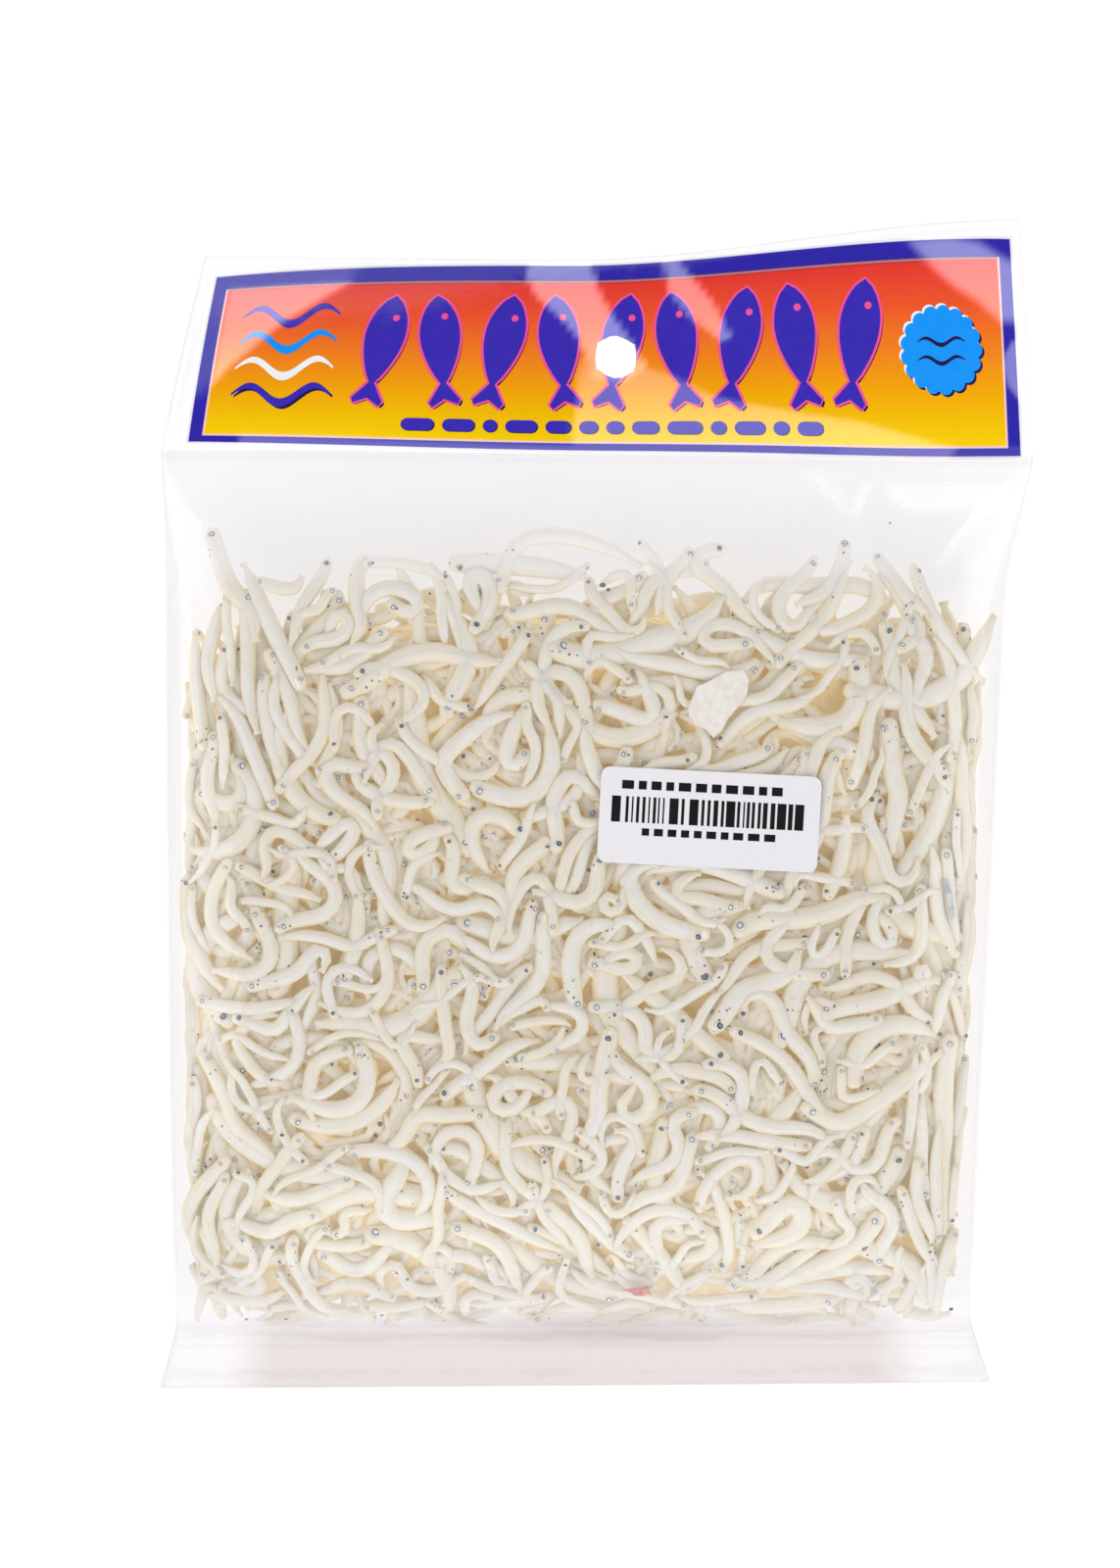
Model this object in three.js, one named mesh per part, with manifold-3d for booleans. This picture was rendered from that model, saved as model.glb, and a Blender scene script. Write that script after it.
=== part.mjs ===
// A clear, heat-sealed bag of small dried anchovies with a printed header card and a price sticker.
// The bag lies on its back with the shown side up, and its header slopes down from the heat seal.
// Units are millimetres and +Z is up. X runs across the bag. Y runs from the bottom seal to the header.
// The origin is the middle of the bag's bounding box, at the level of the surface it lies on.
import * as THREE from "three";
import { mergeVertices } from "three/addons/utils/BufferGeometryUtils.js";
import Module from "manifold-3d";

// Driving dimensions of the bag
const FILM_EDGE = 0.6; // height left at the side folds, where the two films meet
const FILM_PLATE = 1.3; // the two films of the header with the card between them, drawn thicker than real
const SIDE_ROUNDNESS = 3.2; // superellipse power of a cross-section: 2 is an ellipse, more is boxier
const UNDERSIDE_FLATTENING = 1.1; // how far the round underside would pass the surface it lies on
const FULL_RISE = 5; // half thickness from which the underside is flattened all the way

// Cross-sections of the filled bag from the bottom edge to the heat seal under the header.
// left and right are the side folds, under and over the lowest and highest level of the section,
// and lean is how far the section's right end runs ahead of its middle.
const SECTIONS = [
  { y: -89.8, left: -67.1, right: 63.2, under: 0, over: 1.2, lean: 0.5 }, // cut edge of the bottom seal
  { y: -84, left: -65.5, right: 61.3, under: 0, over: 1.9, lean: 0.4 }, // flat seal band
  { y: -80, left: -64.5, right: 60.1, under: 0, over: 3.6, lean: 0.2 }, // crease where the fill begins
  { y: -74, left: -64.1, right: 59.4, under: 0, over: 9.2, lean: 0 },
  { y: -64, left: -64.1, right: 59.5, under: 0, over: 13.8, lean: 0 },
  { y: -44, left: -64.2, right: 60.1, under: 0, over: 16, lean: 0 },
  { y: -12, left: -64.3, right: 61.4, under: 0, over: 16.2, lean: 0 },
  { y: 18, left: -64.4, right: 62.7, under: 0, over: 14.6, lean: 0 },
  { y: 36, left: -64.4, right: 63.7, under: 0.9, over: 12.4, lean: -0.2 }, // the fill ends
  { y: 47, left: -64.4, right: 65.7, under: 5.4, over: 11.3, lean: -0.4 },
  { y: 54.9, left: -64.6, right: 67.1, under: 9.35, over: 10.65, lean: -0.6 }, // heat seal
];

// The header: a wavy sheet from the heat seal to its top edge. Its left half reaches the surface
// that the bag lies on, and its right corner stays up.
const HEADER_TOP = { left: -58.7, right: 64.6, y: 85.2, rise: 5.1, cornerDip: 0.5 };
const HEADER_TOP_LEVEL = { low: 0.65, lift: 10.4 };
const HEADER_ARCH = { left: 2.2, right: 0.6 };
const HEADER_WAVE = { height: 0.45, waves: 1.5 };
const HEADER_CLIMB_START = -0.1; // share of the half width where the top edge begins to rise

// The printed card inside the header, as shares of the header's half width and of its height
const CARD = { left: -0.96, right: 0.976, bottom: 0.035, top: 0.91, crown: 0.05 };
const CARD_LEVEL = { low: 0.1, high: 0.5 }; // above the header's middle surface
const POCKET = { floor: -0.2, open: 2.6 }; // above the header's middle surface
const CARD_CLEARANCE = 0.35;
const HANG_HOLE = { x: 4.1, y: 70, radius: 3, depth: 60, sides: 32 }; // depth of the cut, past both faces

// The price sticker, level on the bag's front
const STICKER = { x: 18, y: 0.6, width: 33, height: 14.4, corner: 1.4, thickness: 0.25, turn: -2.9 };
const STICKER_GAP = 0.3;
const STICKER_PAD = { margin: 1.2, depth: 5 }; // film pressed flat under and round the sticker

// The anchovies that show through the front, largest first
const FISH_RELIEF = 1.7; // how far the anchovies stand above the mass behind them
// crowding under 1 gathers a size near the header, and over 1 near the bottom seal.
const FISH_SIZES = [
  { count: 12, length: [25, 30], radius: [1.75, 2.15], crowding: 0.55 },
  { count: 28, length: [19, 24], radius: [1.35, 1.75], crowding: 0.8 },
  { count: 40, length: [13, 18], radius: [1.05, 1.35], crowding: 1.5 },
];
const FISH_AREA = { bottom: -76, top: 40, sideMargin: 3.6 };
const FILL_CORNERS = { drop: 12, power: 2.5 }; // how far the heap is lower towards the sides of the bag
const FISH_SPACING = 1.125; // least distance between two middle lines, over the sum of the radii
const FISH_TRIES = 900;
const FISH_RINGS = [0, 0.12, 0.34, 0.6, 0.84, 1]; // shares of the length, from snout to tail fin
const FISH_SIDES = 6;
const FISH_HEAD = { snout: 0.5, growth: 4 }; // width at the snout, and how fast it grows along the head
const FISH_TAPER = { start: 0.28, loss: 0.85, power: 1.5 };
const TAIL_FIN = { wide: 0.85, high: 0.14 }; // shares of the anchovy's radius
const TAIL_SINKING = 0.25; // share of the relief that the thinnest part keeps
const FISH_BENDING = { most: 3, wave: 0.6 }; // radians
const FISH_SEED = 20871;

// How finely the surfaces are drawn
const BODY_COLUMNS = 18;
const BODY_ROWS = [-84, -80, -77, -74, -69, -62, -50, -34, -14, 6, 22, 34, 42, 48];
const HEADER_ROWS = 6;
const CORNER_STEPS = 5;

const COLOURS = { bag: 0xe3dac6, card: 0xf0922c, sticker: 0xece9ea };

const wasm = await Module();
wasm.setup();

// Repeatable random numbers from 0 to 1, by the usual multiply-and-remainder rule
function randomSource(seed) {
  const [factor, limit] = [16807, 2147483647];
  let state = seed;
  return () => {
    state = (state * factor) % limit;
    return state / limit;
  };
}

const mix = (a, b, share) => a + (b - a) * share;

function smoothStep(share) {
  const t = Math.min(1, Math.max(0, share));
  return t * t * (3 - 2 * t);
}

// One value of the bag's cross-sections at a place along the bag, on a smooth curve through them
function sectionValue(key, y) {
  const last = SECTIONS.length - 1;
  const clamped = Math.min(SECTIONS[last].y, Math.max(SECTIONS[0].y, y));
  const i = Math.min(last - 1, Math.max(0, SECTIONS.findIndex((s) => s.y > clamped) - 1));
  const start = clamped >= SECTIONS[last].y ? last - 1 : i;
  const [a, b] = [SECTIONS[start], SECTIONS[start + 1]];
  const slope = (k) => {
    const [before, after] = [SECTIONS[Math.max(0, k - 1)], SECTIONS[Math.min(last, k + 1)]];
    return (after[key] - before[key]) / (after.y - before.y);
  };
  const gap = b.y - a.y;
  const t = (clamped - a.y) / gap;
  const [t2, t3] = [t * t, t * t * t];
  return (
    (2 * t3 - 3 * t2 + 1) * a[key] +
    (t3 - 2 * t2 + t) * gap * slope(start) +
    (3 * t2 - 2 * t3) * b[key] +
    (t3 - t2) * gap * slope(start + 1)
  );
}

// The bag's cross-section at y as plain numbers
function sectionAt(y) {
  const [left, right] = [sectionValue("left", y), sectionValue("right", y)];
  const [under, over] = [Math.max(0, sectionValue("under", y)), sectionValue("over", y)];
  return {
    middle: (left + right) / 2,
    half: (right - left) / 2,
    level: (under + over) / 2,
    rise: (over - under) / 2,
    lean: sectionValue("lean", y),
  };
}

// How full a section is at a share of its half width: 1 in the middle and 0 at the side folds
function fullness(share) {
  const inside = 1 - Math.min(1, Math.abs(share)) ** SIDE_ROUNDNESS;
  return inside ** (1 / SIDE_ROUNDNESS);
}

// Level of the mass of anchovies under the front film
function frontLevel(x, y) {
  const s = sectionAt(y);
  const edge = FILM_EDGE / 2;
  return s.level + edge + (s.rise - edge) * fullness((x - s.middle) / s.half);
}

function evenSteps(count) {
  return Array.from({ length: count + 1 }, (_, i) => i / count);
}

// Places from -1 to 1 that lie closer together towards both ends
function edgeSpacing(count) {
  return Array.from({ length: count + 1 }, (_, j) => -Math.cos((Math.PI * j) / count));
}

// One row of the filled bag: its front and back points from the left fold to the right fold
function bodyRow(y, shares) {
  const s = sectionAt(y);
  const edge = FILM_EDGE / 2;
  const point = (share, side) => {
    const rise = side > 0 ? s.rise : s.rise + UNDERSIDE_FLATTENING * Math.min(1, s.rise / FULL_RISE) ** 2;
    const level = s.level + side * (edge + (rise - edge) * fullness(share));
    return new THREE.Vector3(s.middle + share * s.half, y + s.lean * share, Math.max(0, level));
  };
  return { front: shares.map((u) => point(u, 1)), back: shares.map((u) => point(u, -1)) };
}

// A point of the header's middle surface: u runs across from -1 to 1, and v from the seal to the top
function headerPoint(u, v, above = 0) {
  const seal = SECTIONS[SECTIONS.length - 1];
  const [sealLevel, across] = [(seal.under + seal.over) / 2, (u + 1) / 2];
  const climb = smoothStep((u - HEADER_CLIMB_START) / (1 - HEADER_CLIMB_START));
  const topY = HEADER_TOP.y + HEADER_TOP.rise * climb + HEADER_TOP.cornerDip * smoothStep(-u);
  const topLevel = HEADER_TOP_LEVEL.low + HEADER_TOP_LEVEL.lift * climb;
  const arch = 4 * v * (1 - v) * mix(HEADER_ARCH.left, HEADER_ARCH.right, smoothStep(across));
  const ripple = Math.sin(2 * Math.PI * HEADER_WAVE.waves * across);
  const wave = HEADER_WAVE.height * Math.sin(Math.PI * v) * ripple;
  return new THREE.Vector3(
    mix(mix(seal.left, seal.right, across), mix(HEADER_TOP.left, HEADER_TOP.right, across), v),
    mix(seal.y + seal.lean * u, topY, v),
    mix(sealLevel, topLevel, v) + arch + wave + above,
  );
}

function headerRow(v, shares) {
  const half = FILM_PLATE / 2;
  return {
    front: shares.map((u) => headerPoint(u, v, half)),
    back: shares.map((u) => headerPoint(u, v, -half)),
  };
}

// A closed solid between rows of front points and rows of back points
function slab(rows) {
  const across = rows[0].front.length;
  const positions = [];
  const at = (row, column, side) => (row * across + column) * 2 + side;
  for (const row of rows) {
    for (let j = 0; j < across; j++) {
      positions.push(...row.front[j].toArray(), ...row.back[j].toArray());
    }
  }
  const index = [];
  const quad = (a, b, c, d) => index.push(a, b, c, a, c, d);
  const [lastRow, lastColumn] = [rows.length - 1, across - 1];
  for (let i = 0; i < lastRow; i++) {
    for (let j = 0; j < lastColumn; j++) {
      quad(at(i, j, 0), at(i, j + 1, 0), at(i + 1, j + 1, 0), at(i + 1, j, 0));
      quad(at(i, j, 1), at(i + 1, j, 1), at(i + 1, j + 1, 1), at(i, j + 1, 1));
    }
    quad(at(i, 0, 1), at(i, 0, 0), at(i + 1, 0, 0), at(i + 1, 0, 1));
    quad(at(i, lastColumn, 0), at(i, lastColumn, 1), at(i + 1, lastColumn, 1), at(i + 1, lastColumn, 0));
  }
  for (let j = 0; j < lastColumn; j++) {
    quad(at(0, j, 0), at(0, j, 1), at(0, j + 1, 1), at(0, j + 1, 0));
    quad(at(lastRow, j, 0), at(lastRow, j + 1, 0), at(lastRow, j + 1, 1), at(lastRow, j, 1));
  }
  const geometry = new THREE.BufferGeometry();
  geometry.setAttribute("position", new THREE.Float32BufferAttribute(positions, 3));
  geometry.setIndex(index);
  return geometry;
}

function solidOf(geometry) {
  const bare = geometry.clone();
  bare.deleteAttribute("normal");
  bare.deleteAttribute("uv");
  const merged = mergeVertices(bare);
  return new wasm.Manifold(
    new wasm.Mesh({
      numProp: 3,
      vertProperties: new Float32Array(merged.attributes.position.array),
      triVerts: new Uint32Array(merged.index.array),
    }),
  );
}

function geometryOf(solid) {
  const mesh = solid.getMesh();
  const geometry = new THREE.BufferGeometry();
  geometry.setAttribute("position", new THREE.BufferAttribute(mesh.vertProperties, 3));
  geometry.setIndex(new THREE.BufferAttribute(mesh.triVerts, 1));
  geometry.computeVertexNormals();
  return geometry;
}

// The film bag with its fill: one slab from the bottom seal over the fill to the header's top edge
function bagSlab() {
  const shares = edgeSpacing(BODY_COLUMNS);
  const places = [SECTIONS[0].y, ...BODY_ROWS, SECTIONS[SECTIONS.length - 1].y];
  const headerShares = evenSteps(HEADER_ROWS).slice(1);
  return slab([...places.map((y) => bodyRow(y, shares)), ...headerShares.map((v) => headerRow(v, shares))]);
}

// A sheet on the header's surface between two levels, over the card's outline grown by a margin
function headerSheet(low, high, margin) {
  const halfWidth = (HEADER_TOP.right - HEADER_TOP.left) / 2;
  const height = HEADER_TOP.y - SECTIONS[SECTIONS.length - 1].y;
  const [sideways, upwards] = [margin / halfWidth, margin / height];
  const [left, right] = [CARD.left - sideways, CARD.right + sideways];
  const columns = evenSteps(BODY_COLUMNS).map((share) => mix(left, right, share));
  const row = (share) => {
    const place = (u) => mix(CARD.bottom - upwards, CARD.top + CARD.crown * (1 - u * u) + upwards, share);
    return {
      front: columns.map((u) => headerPoint(u, place(u), high)),
      back: columns.map((u) => headerPoint(u, place(u), low)),
    };
  };
  return slab(evenSteps(HEADER_ROWS).map(row));
}

function hangHole() {
  const { radius, depth, sides } = HANG_HOLE;
  const punch = new THREE.CylinderGeometry(radius, radius, depth, sides);
  punch.rotateX(Math.PI / 2);
  punch.translate(HANG_HOLE.x, HANG_HOLE.y, 0);
  return solidOf(punch);
}

// A level plate with round corners at the sticker's place
function stickerPlate(margin, low, high) {
  const [w, h] = [STICKER.width / 2 + margin, STICKER.height / 2 + margin];
  const r = STICKER.corner + margin;
  const outline = new THREE.Shape();
  outline.moveTo(-w + r, -h);
  outline.lineTo(w - r, -h);
  outline.absarc(w - r, -h + r, r, -Math.PI / 2, 0);
  outline.lineTo(w, h - r);
  outline.absarc(w - r, h - r, r, 0, Math.PI / 2);
  outline.lineTo(-w + r, h);
  outline.absarc(-w + r, h - r, r, Math.PI / 2, Math.PI);
  outline.lineTo(-w, -h + r);
  outline.absarc(-w + r, -h + r, r, Math.PI, Math.PI * 1.5);
  const solid = { depth: high - low, bevelEnabled: false, curveSegments: CORNER_STEPS };
  const plate = new THREE.ExtrudeGeometry(outline, solid);
  plate.rotateZ(THREE.MathUtils.degToRad(STICKER.turn));
  plate.translate(STICKER.x, STICKER.y, low);
  return plate;
}

// The middle line of an anchovy: a curve in plan with its own bend and wave, one point for each ring
function fishLine(fish) {
  const points = [{ x: 0, y: 0 }];
  for (let i = 1; i < FISH_RINGS.length; i++) {
    const step = fish.length * (FISH_RINGS[i] - FISH_RINGS[i - 1]);
    const s = (FISH_RINGS[i] + FISH_RINGS[i - 1]) / 2;
    const angle = fish.heading + fish.bend * (s - 0.5) + fish.wave * Math.sin(2 * Math.PI * s);
    const from = points[i - 1];
    points.push({ x: from.x + Math.cos(angle) * step, y: from.y + Math.sin(angle) * step });
  }
  const middle = points[Math.floor(points.length / 2)];
  return points.map((p) => ({ x: p.x - middle.x + fish.x, y: p.y - middle.y + fish.y }));
}

// Half width and half height of an anchovy along its length, in shares of its radius
function fishSection(share) {
  if (share === 1) {
    return TAIL_FIN;
  }
  const head = Math.min(1, FISH_HEAD.snout + FISH_HEAD.growth * share);
  const behind = Math.max(0, (share - FISH_TAPER.start) / (1 - FISH_TAPER.start));
  const body = head * (1 - FISH_TAPER.loss * behind ** FISH_TAPER.power);
  return { wide: body, high: body };
}

function underSticker(point, margin) {
  const turn = THREE.MathUtils.degToRad(STICKER.turn);
  const [dx, dy] = [point.x - STICKER.x, point.y - STICKER.y];
  const along = dx * Math.cos(turn) + dy * Math.sin(turn);
  const up = dy * Math.cos(turn) - dx * Math.sin(turn);
  return Math.abs(along) < STICKER.width / 2 + margin && Math.abs(up) < STICKER.height / 2 + margin;
}

function insideHeap(point) {
  const s = sectionAt(point.y);
  const share = Math.min(1, Math.abs(point.x - s.middle) / s.half);
  const top = FISH_AREA.top - FILL_CORNERS.drop * share ** FILL_CORNERS.power;
  const inHeight = point.y > FISH_AREA.bottom && point.y < top;
  return inHeight && Math.abs(point.x - s.middle) < s.half - FISH_AREA.sideMargin;
}

// The anchovies against the front film: the largest first, each clear of the others and of the sticker
function frontFish() {
  const random = randomSource(FISH_SEED);
  const between = (low, high) => mix(low, high, random());
  const placed = [];
  for (const size of FISH_SIZES) {
    for (let n = 0; n < size.count; n++) {
      for (let tries = 0; tries < FISH_TRIES; tries++) {
        const fish = {
          x: between(SECTIONS[0].left, SECTIONS[0].right),
          y: mix(FISH_AREA.bottom, FISH_AREA.top, random() ** size.crowding),
          heading: between(0, 2 * Math.PI),
          length: between(...size.length),
          radius: between(...size.radius),
          bend: between(-1, 1) ** 3 * FISH_BENDING.most,
          wave: between(-FISH_BENDING.wave, FISH_BENDING.wave),
        };
        const line = fishLine(fish);
        const clear = (other) =>
          line.every((p) =>
            other.line.every((q) => {
              const room = (fish.radius + other.fish.radius) * FISH_SPACING;
              return Math.hypot(p.x - q.x, p.y - q.y) > room;
            }),
          );
        const margin = STICKER_PAD.margin + fish.radius;
        const fits = line.every((p) => insideHeap(p) && !underSticker(p, margin));
        if (fits && placed.every(clear)) {
          placed.push({ fish, line });
          break;
        }
      }
    }
  }
  return placed;
}

// An anchovy as rings round its middle line, with its back at the film
function fishGeometry({ fish, line }) {
  const positions = [];
  const index = [];
  const last = line.length - 1;
  line.forEach((p, i) => {
    const [before, after] = [line[Math.max(0, i - 1)], line[Math.min(last, i + 1)]];
    const length = Math.hypot(after.x - before.x, after.y - before.y);
    const across = { x: -(after.y - before.y) / length, y: (after.x - before.x) / length };
    const section = fishSection(FISH_RINGS[i]);
    const back = frontLevel(p.x, p.y) + FISH_RELIEF * mix(TAIL_SINKING, 1, section.high);
    const level = back - section.high * fish.radius;
    for (let k = 0; k < FISH_SIDES; k++) {
      const angle = (2 * Math.PI * k) / FISH_SIDES;
      const side = section.wide * fish.radius * Math.cos(angle);
      const height = section.high * fish.radius * Math.sin(angle);
      positions.push(p.x + across.x * side, p.y + across.y * side, level + height);
    }
  });
  const at = (i, k) => i * FISH_SIDES + (k % FISH_SIDES);
  for (let i = 0; i < last; i++) {
    for (let k = 0; k < FISH_SIDES; k++) {
      index.push(at(i, k), at(i, k + 1), at(i + 1, k + 1), at(i, k), at(i + 1, k + 1), at(i + 1, k));
    }
  }
  for (let k = 1; k < FISH_SIDES - 1; k++) {
    index.push(at(0, 0), at(0, k + 1), at(0, k));
    index.push(at(last, 0), at(last, k), at(last, k + 1));
  }
  const geometry = new THREE.BufferGeometry();
  geometry.setAttribute("position", new THREE.Float32BufferAttribute(positions, 3));
  geometry.setIndex(index);
  return geometry;
}

function namedMesh(name, geometry, color, roughness) {
  const mesh = new THREE.Mesh(geometry, new THREE.MeshStandardMaterial({ color, roughness, metalness: 0 }));
  mesh.name = name;
  return mesh;
}

const hole = hangHole();
const stickerLevel = frontLevel(STICKER.x, STICKER.y) + FISH_RELIEF;

// The bag is one solid: film, fill and header, with the pocket that the card lies in
const pocket = solidOf(headerSheet(POCKET.floor, POCKET.open, CARD_CLEARANCE));
const pad = solidOf(stickerPlate(STICKER_PAD.margin, stickerLevel - STICKER_PAD.depth, stickerLevel));
let bag = solidOf(bagSlab()).subtract(pocket).subtract(hole).add(pad);
for (const placed of frontFish()) {
  bag = bag.add(solidOf(fishGeometry(placed)));
}

const card = solidOf(headerSheet(CARD_LEVEL.low, CARD_LEVEL.high, 0)).subtract(hole);
const stickerBottom = stickerLevel + STICKER_GAP;
const sticker = solidOf(stickerPlate(0, stickerBottom, stickerBottom + STICKER.thickness));

const pack = new THREE.Group();
pack.name = "dried_anchovy_bag";
pack.add(namedMesh("bag", geometryOf(bag), COLOURS.bag, 0.45));
pack.add(namedMesh("header_card", geometryOf(card), COLOURS.card, 0.35));
pack.add(namedMesh("price_sticker", geometryOf(sticker), COLOURS.sticker, 0.5));

export default pack;
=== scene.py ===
# %% [markdown]
# # A clear bag of small dried anchovies
#
# The real thing is a shop bag of clear film, heat-sealed under a header that holds a printed card with
# a punched hang hole. It lies on its back. Inside is a heap of small whitish dried fish, pressed flat
# by the film, and a white price label sticks to its front.
#
# The solids of the bag come packed, in metres: the origin is under the middle of the bag, +X runs
# across it, +Y from the bottom seal to the header and +Z up, out of the shown side. This script leaves
# the label where it is, and dresses the rest: fish, film, card and print.
# Sizes below are in millimetres, and MM turns them into metres when a mesh is made.

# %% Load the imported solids
import functools
import math

import bmesh
import bpy
import numpy as np
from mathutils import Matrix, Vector


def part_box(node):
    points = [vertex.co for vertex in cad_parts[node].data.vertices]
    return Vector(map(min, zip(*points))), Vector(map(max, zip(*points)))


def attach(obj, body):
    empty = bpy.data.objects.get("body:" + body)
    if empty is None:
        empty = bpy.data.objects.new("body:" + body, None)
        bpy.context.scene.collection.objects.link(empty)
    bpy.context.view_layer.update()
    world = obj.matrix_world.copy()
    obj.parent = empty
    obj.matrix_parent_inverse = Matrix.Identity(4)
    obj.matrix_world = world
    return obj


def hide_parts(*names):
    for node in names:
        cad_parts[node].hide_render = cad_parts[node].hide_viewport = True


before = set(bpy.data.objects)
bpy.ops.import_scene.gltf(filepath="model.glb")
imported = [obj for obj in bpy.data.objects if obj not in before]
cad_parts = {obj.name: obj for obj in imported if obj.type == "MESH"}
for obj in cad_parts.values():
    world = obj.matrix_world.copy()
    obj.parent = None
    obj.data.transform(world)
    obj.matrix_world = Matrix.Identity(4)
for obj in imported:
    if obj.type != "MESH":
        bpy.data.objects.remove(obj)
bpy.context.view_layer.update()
bpy.ops.object.select_all(action="DESELECT")
MM = 0.001

# %% [markdown]
# ## Camera
#
# The picture looks almost straight down. A pixel near the middle of the photo is 1/6.58 mm, which with
# a distance of half a metre gives the lens. The camera stands a little towards the header, so it leans
# back by the same small angle.

# %% Add the camera
PHOTO_SIZE = (1143, 1600)
PIXELS_PER_MM = 6.58
CAMERA_DISTANCE = 500
CAMERA_LEAN = math.radians(4)
PHOTO_CENTRE = (-4.34, 4.68, 0)
SENSOR = 36

camera_place = (
    PHOTO_CENTRE[0],
    PHOTO_CENTRE[1] + CAMERA_DISTANCE * math.sin(CAMERA_LEAN),
    CAMERA_DISTANCE * math.cos(CAMERA_LEAN),
)
bpy.ops.object.camera_add(location=[c * MM for c in camera_place], rotation=(-CAMERA_LEAN, 0, 0))
camera = bpy.context.object
camera.data.sensor_width = SENSOR
camera.data.lens = SENSOR * CAMERA_DISTANCE * PIXELS_PER_MM / PHOTO_SIZE[1]
bpy.context.scene.camera = camera
print("lens in mm:", round(camera.data.lens, 1))

# %% [markdown]
# ## Floor and light
#
# The bag was photographed on a white ground that is brighter than the bag itself, like the glass of a
# light table: the empty film and the hang hole are nearly white. So the floor gives off light too.
# The room is bright all round, with a dark patch of ceiling over the bag and the camera. The fish get
# an even soft light, and the flat parts of the film mirror only the dark patch, so the print below
# them keeps its deep colours. Three softboxes at the sides give the fish their form.

# %% Add the floor and the lights
FLOOR_SIZE = 3
FLOOR_GAP = 0.0002
bpy.ops.mesh.primitive_plane_add(size=FLOOR_SIZE, location=(0, 0, -FLOOR_GAP))
floor = bpy.context.object
floor.name = "floor"

SOFTBOX_SIZE = (0.65, 0.55)
SOFTBOXES = {
    "left_softbox": ((-0.62, 0.05, 0.62), 1.7),
    "right_softbox": ((0.62, 0.05, 0.62), 1.35),
    "near_softbox": ((0, -0.62, 0.62), 1.5),
}
for name, (place, watts) in SOFTBOXES.items():
    bpy.ops.object.light_add(type="AREA", location=place)
    light = bpy.context.object
    light.name = name
    light.data.shape = "RECTANGLE"
    light.data.size, light.data.size_y = SOFTBOX_SIZE
    light.data.energy = watts
    light.rotation_euler = (-Vector(place)).to_track_quat("-Z", "Y").to_euler()

DARK_PATCH = (0, 0.32, 0.947)  # direction of its middle
PATCH_EDGE = (0.8, 0.87)  # cosines of the angles at which it begins and is full
PATCH_LIGHT = 0.03
ROOM_LIGHT = 0.98
world = bpy.context.scene.world or bpy.data.worlds.new("world")
bpy.context.scene.world = world
world.use_nodes = True
sky = world.node_tree.nodes["Background"]
sky.inputs["Strength"].default_value = 1
look = world.node_tree.nodes.new("ShaderNodeTexCoord")
towards_patch = world.node_tree.nodes.new("ShaderNodeVectorMath")
towards_patch.operation = "DOT_PRODUCT"
towards_patch.inputs[1].default_value = DARK_PATCH
brightness = world.node_tree.nodes.new("ShaderNodeMapRange")
brightness.interpolation_type = "SMOOTHSTEP"
for name, value in zip(("From Min", "From Max", "To Min", "To Max"), (*PATCH_EDGE, ROOM_LIGHT, PATCH_LIGHT)):
    brightness.inputs[name].default_value = value
world.node_tree.links.new(look.outputs["Generated"], towards_patch.inputs[0])
world.node_tree.links.new(towards_patch.outputs["Value"], brightness.inputs["Value"])
world.node_tree.links.new(brightness.outputs["Result"], sky.inputs["Color"])
bpy.context.scene.view_settings.view_transform = "Standard"

# %% [markdown]
# ## The bag's form
#
# A filled bag is easiest to describe by its cross-sections: how far its side folds are apart, and
# its lowest and highest level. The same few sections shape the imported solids, so film, fish and card
# that are worked out from them fit the solids with nothing to adjust.
# Between two sections the values follow a smooth curve.

# %% Sections along the bag and the surfaces they give
SECTION_KEYS = ("y", "left", "right", "under", "over", "lean")
SECTIONS = [
    (-89.8, -67.1, 63.2, 0, 1.2, 0.5),  # cut edge of the bottom seal
    (-84, -65.5, 61.3, 0, 1.9, 0.4),  # flat seal band
    (-80, -64.5, 60.1, 0, 3.6, 0.2),  # crease where the fill begins
    (-74, -64.1, 59.4, 0, 9.2, 0),
    (-64, -64.1, 59.5, 0, 13.8, 0),
    (-44, -64.2, 60.1, 0, 16, 0),
    (-12, -64.3, 61.4, 0, 16.2, 0),
    (18, -64.4, 62.7, 0, 14.6, 0),
    (36, -64.4, 63.7, 0.9, 12.4, -0.2),  # the fill ends
    (47, -64.4, 65.7, 5.4, 11.3, -0.4),
    (54.9, -64.6, 67.1, 9.35, 10.65, -0.6),  # heat seal
]
SECTION_TABLE = dict(zip(SECTION_KEYS, np.array(SECTIONS, float).T))
SIDE_ROUNDNESS = 3.2
UNDERSIDE_FLATTENING = 1.1
FULL_RISE = 5
FILM_GAP = 0.12  # half the gap between the two films at a fold
FISH_RELIEF = 1.7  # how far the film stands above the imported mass, on the largest fish


def smooth(share):
    """0 before 0, 1 after 1 and a soft step between them"""
    t = np.clip(share, 0, 1)
    return t * t * (3 - 2 * t)


def section_value(key, y):
    """One value of the cross-sections at y, on a smooth curve through them"""
    at, values = SECTION_TABLE["y"], SECTION_TABLE[key]
    last = len(at) - 1
    place = np.clip(y, at[0], at[last])
    i = np.clip(np.searchsorted(at, place, side="right") - 1, 0, last - 1)
    before, after = np.maximum(np.arange(last + 1) - 1, 0), np.minimum(np.arange(last + 1) + 1, last)
    slopes = (values[after] - values[before]) / (at[after] - at[before])
    gap = at[i + 1] - at[i]
    t = (place - at[i]) / gap
    return (
        (2 * t**3 - 3 * t**2 + 1) * values[i]
        + (t**3 - 2 * t**2 + t) * gap * slopes[i]
        + (3 * t**2 - 2 * t**3) * values[i + 1]
        + (t**3 - t**2) * gap * slopes[i + 1]
    )


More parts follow.
